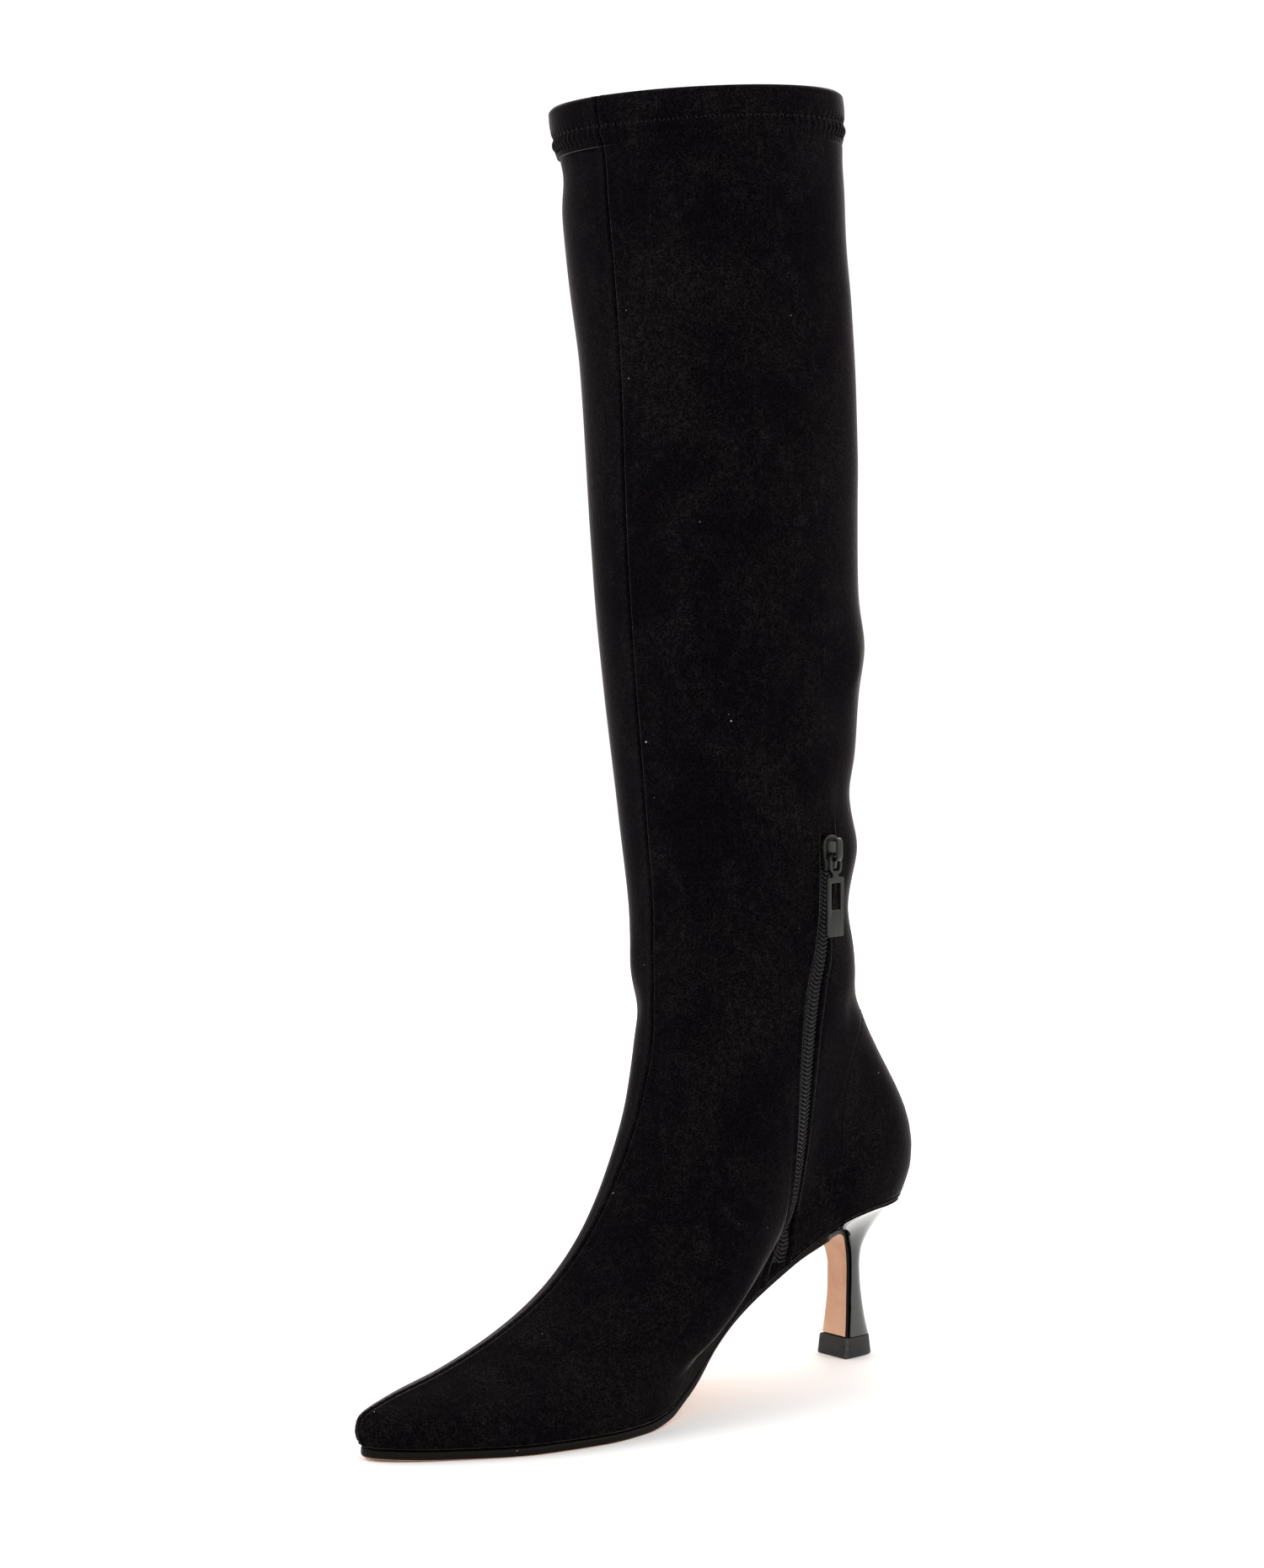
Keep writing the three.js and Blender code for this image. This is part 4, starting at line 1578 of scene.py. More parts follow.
class StitchTree(PathTree):
    """Stitches of thread set along a path, each lying on the skin; every other one may lean."""

    def __init__(self) -> None:
        """Builds the tree."""
        super().__init__("Stitches", ("Pitch", "Length", "Width", "Height", "Lean"))
        bench, given = self.bench, self.given
        curve = bench.add("GeometryNodeMeshToCurve", {"Mesh": given["Path"]}).outputs[0]
        row = bench.add("GeometryNodeResampleCurve", {"Curve": curve}, mode="LENGTH")
        bench.feed(row.inputs["Length"], given["Pitch"])
        shape = {"Segments": 8, "Rings": 5, "Radius": 0.5}
        ball = bench.add("GeometryNodeMeshUVSphere", shape).outputs["Mesh"]
        size = bench.add("ShaderNodeCombineXYZ")
        for axis, label in enumerate(("Length", "Width", "Height")):
            bench.feed(size.inputs[axis], given[label])
        stitch = bench.add("GeometryNodeTransform", {"Geometry": ball, "Scale": size.outputs[0]}).outputs[0]
        tangent = bench.add("GeometryNodeInputTangent").outputs[0]
        upright = bench.add("FunctionNodeAlignRotationToVector", axis="Z", pivot_axis="AUTO")
        bench.feed(upright.inputs["Vector"], self.attribute("outward"))
        along = bench.add("FunctionNodeAlignRotationToVector", axis="X", pivot_axis="Z")
        bench.feed(along.inputs["Rotation"], upright.outputs[0])
        bench.feed(along.inputs["Vector"], tangent)
        odd = bench.math("MODULO", bench.add("GeometryNodeInputIndex").outputs[0], 2.0)
        swing = bench.times(bench.minus(1.0, bench.times(odd, 2.0)), given["Lean"])
        tilt = bench.add("FunctionNodeAxisAngleToRotation")
        tilt.inputs["Axis"].default_value = (0.0, 0.0, 1.0)
        bench.feed(tilt.inputs["Angle"], swing)
        turned = bench.add("FunctionNodeRotateRotation", rotation_space="LOCAL")
        bench.feed(turned.inputs["Rotation"], along.outputs[0])
        bench.feed(turned.inputs["Rotate By"], tilt.outputs[0])
        placed = bench.add("GeometryNodeInstanceOnPoints", {"Points": row.outputs[0], "Instance": stitch})
        bench.feed(placed.inputs["Rotation"], turned.outputs[0])
        self.close(placed.outputs[0])


class CoilTree(PathTree):
    """One side of a zip's coil: a flattened helix of nylon wire along the path."""

    def __init__(self) -> None:
        """Builds the tree."""
        super().__init__("Coil", ("Turns", "Phase", "Middle", "Reach", "Rise", "Wire", "Slant"), ("Points",))
        bench, given = self.bench, self.given
        curve = bench.add("GeometryNodeMeshToCurve", {"Mesh": given["Path"]}).outputs[0]
        row = bench.add("GeometryNodeResampleCurve", {"Curve": curve, "Count": given["Points"]}, mode="COUNT")
        share = bench.add("GeometryNodeSplineParameter").outputs["Factor"]
        theta = bench.times(bench.times(share, given["Turns"]), 2 * math.pi)
        theta = bench.plus(theta, given["Phase"])
        swing = bench.times(bench.math("COSINE", theta), 1.3)
        swing = bench.math("MAXIMUM", bench.math("MINIMUM", swing, 1.0), -1.0)
        aside = bench.plus(given["Middle"], bench.times(swing, given["Reach"]))
        lift = bench.times(bench.math("SINE", theta), given["Rise"])
        along = self.vector("CROSS_PRODUCT", self.attribute("across"), self.attribute("outward"))
        offset = self.vector(
            "ADD",
            self.vector("SCALE", self.attribute("across"), scale=aside),
            self.vector("SCALE", self.attribute("outward"), scale=lift),
        )
        lean = self.vector("SCALE", along, scale=bench.times(swing, given["Slant"]))
        offset = self.vector("ADD", offset, lean)
        moved = {"Geometry": row.outputs[0], "Offset": offset}
        helix = bench.add("GeometryNodeSetPosition", moved).outputs[0]
        wire = bench.add("GeometryNodeCurvePrimitiveCircle", {"Resolution": 6, "Radius": given["Wire"]})
        tube = bench.add(
            "GeometryNodeCurveToMesh",
            {"Curve": helix, "Profile Curve": wire.outputs[0], "Fill Caps": True},
        )
        self.close(tube.outputs[0])


# ---------------------------------------------------------------- the upper


@dataclass
class Upper:
    """The stretch upper: one hollow skin from the sole to the hem, lined inside.

    Attributes:
        last: The last.
        relief: How the skin stands off it.
        wall: Thickness of the skin and lining, mm.
        hem: Height of the hem above it, mm.
        row_step: Spacing of the rows up the boot, mm.
        inner_step: Spacing of the rows of the lining, mm.
        front_columns: Offsets of the columns either side of the front seam, mm.
        zip_columns: Offsets of the columns either side of the zip's line, mm.
    """

    last: Last
    relief: Relief
    wall: float = 1.8
    hem: float = 17.0
    row_step: float = 2.0
    inner_step: float = 8.0
    front_columns: tuple[float, ...] = (0.0, 0.25, 0.5, 0.8, 1.2, 1.7, 2.4, 3.4, 4.8)
    zip_columns: tuple[float, ...] = (
        0.0, 1.4, 2.8, 3.3, 3.45, 3.6, 3.75, 4.0, 4.5, 5.1, 5.7, 6.2, 6.7, 7.6, 9.0,
    )

    def columns(self, up: Array) -> Array:
        """Side angles of every column at every height.

        Args:
            up: Heights.

        Returns:
            Angles, one row per height.
        """
        up = up[:, None]
        front = np.array(self.front_columns)[None, :] / self.relief.front_speed(up)
        offsets = np.array([-v for v in self.zip_columns[:0:-1]] + list(self.zip_columns))
        slide = self.relief.zip_angle(up) + offsets[None, :] / self.relief.zip_speed(up)
        first = self.between(front[:, -1], slide[:, 0], 34)
        rest = self.between(slide[:, -1], 2 * math.pi - front[:, -1], 112)
        return np.concatenate([front, first, slide, rest, 2 * math.pi - front[:, :0:-1]], axis=1)

    @staticmethod
    def between(low: Array, high: Array, count: int) -> Array:
        """Angles between two, evenly spaced along the ring and without its ends.

        Args:
            low: Start of each row.
            high: End of each row.
            count: How many.

        Returns:
            Angles, one row per pair.
        """
        even = np.linspace(-0.5, 7.0, 3000)
        angle = even + 0.2 * np.sin(2 * even)
        a, b = np.interp(low, angle, even), np.interp(high, angle, even)
        share = (np.arange(count) + 1) / (count + 1)
        at = a[:, None] + (b - a)[:, None] * share[None, :]
        return at + 0.2 * np.sin(2 * at)

    def rows(self, step: float, fine: bool) -> Array:
        """Heights of the rows.

        Args:
            step: Their spacing, mm.
            fine: Whether they crowd at the sole and at the zip's top.

        Returns:
            Heights from the feather line to the hem.
        """
        top = self.last.rim - self.hem + 0.35
        even = list(np.arange(step, top - 0.4 * step, step))
        if not fine:
            return np.array([0.0, *even, top])
        zip_top = float(self.relief.zip_line.ups.max())
        edge = [0.0, 0.2, 0.4, 0.65, 0.9, 1.15, 1.4, 1.65, 1.85, 2.05, 2.3, 2.6, 3.0, 3.6]
        crowd = [zip_top + v for v in (-0.6, 0.1, 0.35, 0.6, 0.85, 1.1)]
        away = [v for v in even if v > 4.2 and min(abs(v - c) for c in crowd) > 0.5]
        return np.array(sorted(edge + crowd + away + [top - 0.8, top]))

    def seam_distance(self, points: Array) -> Array:
        """Where each point stands by the nearer counter seam.

        Args:
            points: Points on the last.

        Returns:
            Signed distance across the seam in mm, how far the seam shows there, and 0.
        """
        nearest = np.full(len(points), np.inf)
        across, shown = np.zeros(len(points)), np.zeros(len(points))
        for line in self.relief.counters:
            nodes = self.last.point(line.angles, line.ups)
            run = unit(np.gradient(nodes, axis=0))
            aside = unit(np.cross(self.last.normal(line.angles, line.ups), run))
            gap = np.linalg.norm(points[:, None, :] - nodes[None, :, :], axis=-1)
            k, gap = gap.argmin(axis=1), gap.min(axis=1)
            away = points - nodes[k]
            beyond = np.abs((away * run[k]).sum(-1))
            near = gap < nearest
            nearest = np.where(near, gap, nearest)
            across = np.where(near, (away * aside[k]).sum(-1), across)
            shown = np.where(near, smoothstep(4.0, 2.0, beyond) * smoothstep(9.0, 6.0, gap), shown)
        return np.stack([across, shown, np.zeros(len(points))], axis=-1)

    def build(self, finishes: Finishes) -> Piece:
        """Builds and dresses the upper.

        Args:
            finishes: The boot's finishes.

        Returns:
            The piece.
        """
        up = self.rows(self.row_step, True)
        angle = self.columns(up)
        height = np.broadcast_to(up[:, None], angle.shape)
        proud = self.relief.at(angle, height)
        tuck = -0.5 * smoothstep(up[-1] - 1.2, up[-1], height)
        outside = self.last.skin(angle, height, proud + tuck)
        inner_up = self.rows(self.inner_step, False)
        inner_angle = self.columns(inner_up)
        inner_height = np.broadcast_to(inner_up[:, None], inner_angle.shape)
        sunk = np.minimum(self.relief.soft(inner_angle, inner_height), 0.6) - self.wall
        inside = self.last.skin(inner_angle, inner_height, sunk)

        bench = MeshBench("upper_skin")
        columns = angle.shape[1]
        first = bench.add_points(outside)
        second = bench.add_points(inside)
        bench.add_faces(grid_faces(len(up), columns, first, wrap=True), 0)
        bench.add_faces(grid_faces(len(inner_up), columns, second, wrap=True)[:, ::-1], 1)
        ring = np.arange(columns)
        after = (ring + 1) % columns
        top_out, top_in = first + (len(up) - 1) * columns, second + (len(inner_up) - 1) * columns
        bench.add_faces(np.stack([first + after, first + ring, second + ring, second + after], 1), 0)
        bench.add_faces(np.stack([top_out + ring, top_out + after, top_in + after, top_in + ring], 1), 1)
        piece = bench.build([finishes.suede, finishes.lining])
        self.store(piece)
        return dress(piece, BOOT, Slot.SUEDE, "upper")

    def store(self, piece: Piece) -> None:
        """Stores the seam distance and a map that follows the skin.

        Args:
            piece: The upper.
        """
        mesh = piece.data
        points = corners(mesh) / MM - SHIFT
        attribute = mesh.attributes.new("counter_seam", "FLOAT_VECTOR", "POINT")
        attribute.data.foreach_set("vector", self.seam_distance(points).astype(np.float32).ravel())
        lay_map(mesh)


def lay_map(mesh: bpy.types.Mesh) -> None:
    """Gives a mesh a map in metres: round the boot by turn about its middle, and up it by height.

    Args:
        mesh: The mesh.
    """
    points = corners(mesh)
    corner = np.empty(len(mesh.loops), dtype=np.int64)
    mesh.loops.foreach_get("vertex_index", corner)
    middle, radius = 0.03, 0.045
    turn = np.arctan2(points[:, 0], -(points[:, 1] - middle))
    flat = np.stack([turn * radius, points[:, 2]], axis=-1)[corner]
    layer = mesh.uv_layers.new(name="skin")
    layer.data.foreach_set("uv", flat.astype(np.float32).ravel())


@dataclass
class Hem:
    """The folded elastic hem round the top of the shaft, gathered along its two rows of stitches.

    Attributes:
        last: The last.
        relief: How the skin stands off it.
        height: Height of the hem, mm.
        wall: Its thickness, mm.
        proud: How far it stands off the shaft, mm.
        rows: Distance of each row of stitches below the rim, mm.
        gather: Spacing of the gathers, mm.
        columns: Faces round it.
    """

    last: Last
    relief: Relief
    height: float = 17.0
    wall: float = 3.0
    proud: float = 0.55
    rows: tuple[float, float] = (10.2, 14.8)
    gather: float = 3.0
    columns: int = 420

    def angles(self) -> Array:
        """Side angles of its columns."""
        even = np.linspace(0, 2 * math.pi, self.columns, endpoint=False)
        return even + 0.05 * np.sin(2 * even)

    def section(self) -> tuple[Array, Array]:
        """Its section: how proud each place stands and how far below the rim it is.

        Returns:
            Proud values and drops from the rim, from the outer foot over the top to the inner foot.
        """
        drops = np.concatenate([np.linspace(self.height, 1.6, 44), np.linspace(1.3, 0.0, 5)])
        outer = np.full(len(drops), self.proud)
        round_off = np.clip(1 - drops / 1.6, 0, 1)
        outer -= 1.2 * round_off**2
        outer -= 0.95 * np.clip(1 - (self.height - drops) / 3.2, 0, 1) ** 1.8
        middle = np.linspace(outer[-1], self.proud - self.wall + 1.2, 5)[1:-1]
        return np.concatenate([outer, middle]), np.concatenate([drops, np.zeros(3)])

    def puff(self, angle: Array, drop: Array) -> Array:
        """Fullness between the rows, gathers along them and the pinch of the thread.

        Args:
            angle: Side angles.
            drop: Distances below the rim.

        Returns:
            How much more it stands proud, mm.
        """
        radius = 47.0
        around = angle * radius
        wave = np.cos(2 * math.pi * around / self.gather + 0.6 * np.sin(around / 9.0))
        slow = np.sin(around / 11.0) * 0.5 + np.sin(around / 27.0 + 1.0) * 0.5
        first, second = self.rows
        full = 0.5 * np.sin(np.clip(drop / first, 0, 1) * math.pi) + 0.25 * np.sin(
            np.clip((drop - first) / (second - first), 0, 1) * math.pi
        )
        pinch = -0.5 * bell(drop - first, 1.1) - 0.6 * bell(drop - second, 1.3)
        gathers = wave * (0.18 * bell(drop - first, 2.0) + 0.26 * bell(drop - second + 1.5, 2.4))
        return full + pinch + gathers + 0.18 * slow * smoothstep(0, 4, drop)

    def surface(self, angle: Array, drop: Array) -> Array:
        """Points on its outer face, mm."""
        up = self.last.rim - drop
        proud = self.proud + self.puff(angle, drop) + self.relief.front_seam(angle, up)
        return self.last.skin(angle, up, proud)

    def build(self, finishes: Finishes) -> Piece:
        """Builds and dresses the hem.

        Args:
            finishes: The boot's finishes.

        Returns:
            The piece.
        """
        angle = self.angles()[:, None]
        proud, drop = self.section()
        count = len(proud)
        inner_proud = np.linspace(self.proud - self.wall + 1.2, self.proud - self.wall, 4)
        inner_drop = np.array([0.0, 0.3, 0.8, 1.5])
        foot_drop = np.linspace(3.0, self.height, 8)
        proud = np.concatenate([proud, inner_proud, np.full(8, self.proud - self.wall)])
        drop = np.concatenate([drop, inner_drop, foot_drop])
        up = self.last.rim - drop[None, :]
        outer = (np.arange(len(proud)) < count - 3)[None, :]
        more = np.where(outer, self.puff(angle, drop[None, :]) * smoothstep(0.0, 1.0, drop[None, :]), 0.0)
        seam = np.where(outer, self.relief.front_seam(angle, np.broadcast_to(up, more.shape)), 0.0)
        points = self.last.skin(np.broadcast_to(angle, more.shape), np.broadcast_to(up, more.shape),
                                proud[None, :] + more + seam)
        bench = MeshBench("hem_band")
        start = bench.add_points(points)
        faces = grid_faces(self.columns, len(proud), start, wrap=True, close=True)
        bench.add_faces(faces, 0)
        piece = bench.build([finishes.suede], 60)
        return dress(piece, BOOT, Slot.SUEDE, "collar_band")


# ---------------------------------------------------------------- stitching


@dataclass
class Stitching:
    """Every visible row of stitches.

    Attributes:
        last: The last.
        relief: The skin's relief.
        hem: The hem.
        tree: The stitch tree.
        pitch: Stitch spacing of the seams, mm.
        size: Length, width and height of a seam stitch, mm.
        lift: How far a stitch's middle stands off the skin, mm.
    """

    last: Last
    relief: Relief
    hem: Hem
    tree: StitchTree
    pitch: float = 3.2
    size: tuple[float, float, float] = (1.5, 0.36, 0.34)
    lift: float = 0.05

    def on_skin(self, line: SkinLine) -> ThreadLine:
        """A line laid on the finished skin.

        Args:
            line: The line on the last.

        Returns:
            Its points and normals.
        """
        proud = self.relief.at(line.angles, line.ups) + self.lift
        place = line.angles, line.ups
        return ThreadLine(self.last.skin(*place, proud), self.last.normal(*place))

    def front_row(self) -> ThreadLine:
        """The row beside the front seam, from the toe to the hem's foot."""
        ups = np.concatenate([np.linspace(11, 60, 120), np.linspace(60.5, self.last.rim - 17.5, 360)])
        angles = -FRONT_ROW / self.relief.front_speed(ups)
        return self.on_skin(SkinLine(angles, ups))

    def hem_front(self) -> ThreadLine:
        """The same row where it crosses the hem."""
        drop = np.linspace(16.5, 0.8, 30)
        angle = -FRONT_ROW / self.relief.front_speed(self.last.rim - drop)
        return ThreadLine(self.hem.surface(angle, drop), self.last.normal(angle, self.last.rim - drop))

    def ring(self, drop: float) -> ThreadLine:
        """A row round the hem.

        Args:
            drop: Its distance below the rim, mm.

        Returns:
            The closed line.
        """
        angle = np.linspace(0, 2 * math.pi, 1500, endpoint=False)
        drops = np.full_like(angle, drop)
        outward = self.last.normal(angle, self.last.rim - drops)
        return ThreadLine(self.hem.surface(angle, drops), outward, True)

    def rows_made(
        self, name: str, lines: Sequence[ThreadLine], finish: Material, pitch: float,
        size: tuple[float, float, float], lean: float = 0.0,
    ) -> Piece:
        """Makes rows of stitches along lines and dresses them.

        Args:
            name: The piece's name.
            lines: The lines.
            finish: The thread's finish.
            pitch: Stitch spacing, mm.
            size: Length, width and height of a stitch, mm.
            lean: How far every other stitch leans, radians.

        Returns:
            The piece.
        """
        length, width, height = size
        values = {"Pitch": pitch * MM, "Length": length * MM, "Width": width * MM, "Height": height * MM}
        piece = self.tree.make(name, lines, {**values, "Lean": lean, "Finish": finish})
        return dress(piece, BOOT, Slot.SUEDE)

    def build(self, finishes: Finishes) -> list[Piece]:
        """Builds every row.

        Args:
            finishes: The boot's finishes.

        Returns:
            The pieces.
        """
        zip_rows = [self.on_skin(self.relief.zip_line.moved(self.last, side * ZIP_ROW)) for side in (-1, 1)]
        counters = [self.on_skin(line.moved(self.last, 1.6)) for line in self.relief.counters]
        seams = [self.front_row(), self.hem_front(), *counters]
        first, second = self.hem.rows
        thread = finishes.thread
        rows = (
            ("seam_stitches", seams, thread, self.pitch, self.size, 0.0),
            ("zip_stitches", zip_rows, thread, 2.8, self.size, 0.0),
            # the upper row uses the lighter thread copy, whose colour paints a highlight
            ("hem_stitches_upper", [self.ring(first)], finishes.taut, 1.6, (2.1, 0.3, 0.34), 1.0),
            ("hem_stitches_lower", [self.ring(second)], thread, 1.6, (1.7, 0.26, 0.3), 1.05),
        )
        return [self.rows_made(*row) for row in rows]


# ---------------------------------------------------------------- the zip


@dataclass
class Zip:
    """The inner side zip: woven tape, two coils, the slider and its pull.

    Attributes:
        last: The last.
        relief: The skin's relief.
        tree: The coil tree.
        tape_half: Half width of the tape that shows, mm.
        tape_depth: Depth of the tape's face under the skin, mm.
        coil_depth: Depth of the coils' middle, mm.
        coil_half: Half width of the closed chain, mm.
        overlap: How far each coil passes the middle, mm.
        pitch: Length of one turn, mm.
        rise: Half height of a turn, mm.
        wire: Radius of the wire, mm.
        slant: How far each turn leans along the zip from its middle to its side, mm.
        turn_points: Points in a turn.
        skipped: Places of the line hidden by the slider, where the coils aren't laid.
        flat_deg: Angle under which the castings' faces are one.
        crisp_deg: Angle beyond which their edges are eased.
        sharp_deg: Angle beyond which their edges are shaded sharp.
    """

    last: Last
    relief: Relief
    tree: CoilTree
    tape_half: float = 3.55
    tape_depth: float = 1.3
    coil_depth: float = 0.62
    coil_half: float = 2.75
    overlap: float = 0.45
    pitch: float = 1.5
    rise: float = 0.42
    wire: float = 0.23
    slant: float = 0.42
    turn_points: int = 12
    skipped: int = 12
    flat_deg: float = 4.0
    crisp_deg: float = 34.0
    sharp_deg: float = 40.0

    def line(self, depth: float) -> ThreadLine:
        """The zip's line at a depth under the skin.

        Args:
            depth: The depth, mm.

        Returns:
            The line from top to bottom.
        """
        track = self.relief.zip_line
        proud = self.relief.soft(track.angles, track.ups) - depth
        return ThreadLine(
            self.last.skin(track.angles, track.ups, proud), self.last.normal(track.angles, track.ups)
        )

    def tape(self, finishes: Finishes) -> Piece:
        """The tape behind the coils, which stands for the whole chain's CAD node.

        Args:
            finishes: The boot's finishes.

        Returns:
            The piece.
        """
        line = self.line(self.tape_depth)
        across = unit(np.cross(line.outward, np.gradient(line.points, axis=0)))
        offsets = np.array([-1.0, -0.6, 0.0, 0.6, 1.0, 1.0, -1.0]) * self.tape_half
        sink = np.array([0.0, 0.0, 0.0, 0.0, 0.0, 0.35, 0.35])
        points = (
            line.points[:, None, :]
            + across[:, None, :] * offsets[None, :, None]
            - line.outward[:, None, :] * sink[None, :, None]
        )
        bench = MeshBench("zip_tape")
        start = bench.add_points(points)
        rows, columns = points.shape[:2]
        bench.add_faces(grid_faces(rows, columns, start, wrap=True))
        bench.add_faces([list(range(start, start + columns))[::-1]])
        bench.add_faces([list(range(start + (rows - 1) * columns, start + rows * columns))])
        piece = bench.build([finishes.tape], self.sharp_deg)
        lay_map(piece.data)
        return dress(piece, BOOT, Slot.COIL, "zip_chain")

    def coils(self, finishes: Finishes) -> list[Piece]:
        """The two interlocked coils.

        Args:
            finishes: The boot's finishes.

        Returns:
            The pieces.
        """
        whole = self.line(self.coil_depth)
        line = ThreadLine(whole.points[self.skipped :], whole.outward[self.skipped :])
        length = float(np.linalg.norm(np.diff(line.points, axis=0), axis=-1).sum())
        turns = round(length / self.pitch)
        reach = (self.coil_half + self.overlap) / 2
        middle = (self.coil_half - self.overlap) / 2
        made = []
        for name, side in (("zip_coil_front", -1.0), ("zip_coil_back", 1.0)):
            values = {
                "Points": turns * self.turn_points,
                "Turns": float(turns),
                "Phase": 0.0 if side > 0 else math.pi,
                "Middle": side * middle * MM,
                "Reach": reach * MM,
                "Rise": self.rise * MM * side,
                "Wire": self.wire * MM,
                "Slant": -side * self.slant * MM,
                "Finish": finishes.coil,
            }
            made.append(dress(self.tree.make(name, [line], values), BOOT, Slot.COIL))
        return made

    def casting(self, node: str, name: str, body: str, bevel: float, finishes: Finishes) -> Piece:
        """A cast metal piece: its CAD shape with its edges eased, the eased faces painted lighter as a
        highlight.

        Args:
            node: The CAD node.
            name: The piece's name.
            body: The body it rides on.
            bevel: Width of the eased edges, mm.
            finishes: The boot's finishes.

        Returns:
            The piece.
        """
        mesh = frame["nodes"][node].data.copy()
        mesh.name = name
        bm = bmesh.new()
        bm.from_mesh(mesh)
        bmesh.ops.remove_doubles(bm, verts=bm.verts, dist=2e-6)
        bmesh.ops.dissolve_limit(bm, angle_limit=math.radians(self.flat_deg), verts=bm.verts, edges=bm.edges)
        turn = math.radians(self.crisp_deg)
        crisp = [e for e in bm.edges if len(e.link_faces) == 2 and e.calc_face_angle(0.0) > turn]
        # the eased faces take the second finish, the lighter gunmetal with the painted edge highlight
        bmesh.ops.bevel(
            bm, geom=crisp, offset=bevel * MM, offset_type="OFFSET", segments=2, profile=0.6,
            affect="EDGES", clamp_overlap=True, material=1,
        )
        bmesh.ops.recalc_face_normals(bm, faces=bm.faces)
        bm.to_mesh(mesh)
        bm.free()
        mesh.materials.clear()
        for finish in (finishes.gunmetal, finishes.rubbed):
            mesh.materials.append(finish)
        shade(mesh, self.sharp_deg)
        return dress(placed(name, mesh), body, Slot.GUNMETAL, node)

    def build(self, finishes: Finishes) -> list[Piece]:
        """Builds the whole zip.

        Args:
            finishes: The boot's finishes.

        Returns:
            The pieces.
        """
        return [
            self.tape(finishes),
            *self.coils(finishes),
            self.casting("zip_slider", "slider_casting", BOOT, 0.22, finishes),
            self.casting("zip_pull", "pull_casting", PULL, 0.16, finishes),
        ]


# ---------------------------------------------------------------- the sole, heel and insole

# Where the sole leaves the upper and runs down the front of the heel: y, z, half width, thickness.
SOLE_TAIL = (
    (-47, 47.3, 18.5, 2.3),
    (-41, 47.2, 15, 2.1),
    (-36, 46.2, 11.8, 1.9),
    (-32, 44.2, 8.8, 1.7),
    (-29.4, 41, 6.6, 1.5),
    (-28, 37, 5.7, 1.5),
    (-27.4, 32, 5.3, 1.5),
    (-27.5, 24, 5.3, 1.5),
    (-28.1, 15, 5.8, 1.5),
    (-28.9, 7.9, 6.3, 1.5),
)
# The heel from the bottom up: z, front, back, half width, share of the seat's outline.
HEEL_ROWS = (
    (7.6, -27.2, -15.2, 7.1, 0),
    (14, -26.4, -17, 6.6, 0),
    (20, -25.9, -18.2, 6.25, 0),
    (27, -25.6, -19.2, 6, 0),
    (33, -25.5, -19.5, 5.9, 0),
    (38, -25.8, -19.2, 6.1, 0.02),
    (42, -26.3, -18.2, 6.8, 0.11),
    (45, -27, -16.8, 7.6, 0.27),
    (48, -28, -15, 9, 0.54),
    (50.3, -29, -13, 10, 0.8),
    (52, -30, -12, 11, 0.95),
    (53, -30, -12, 11, 1),
)


@dataclass
class Strap:
    """The run of the sole as stations: where each section stands, how wide it is and how it leans.

    Attributes:
        left: Outer edge of each section's top face, mm.
        right: Inner edge, mm.
        left_in: Direction from the outer edge into the sole.
        right_in: Direction from the inner edge into the sole.
        down: Direction from the top face to the face that wears.
        thick: Thickness, mm.
    """

    left: Array
    right: Array
    left_in: Array
    right_in: Array
    down: Array
    thick: Array


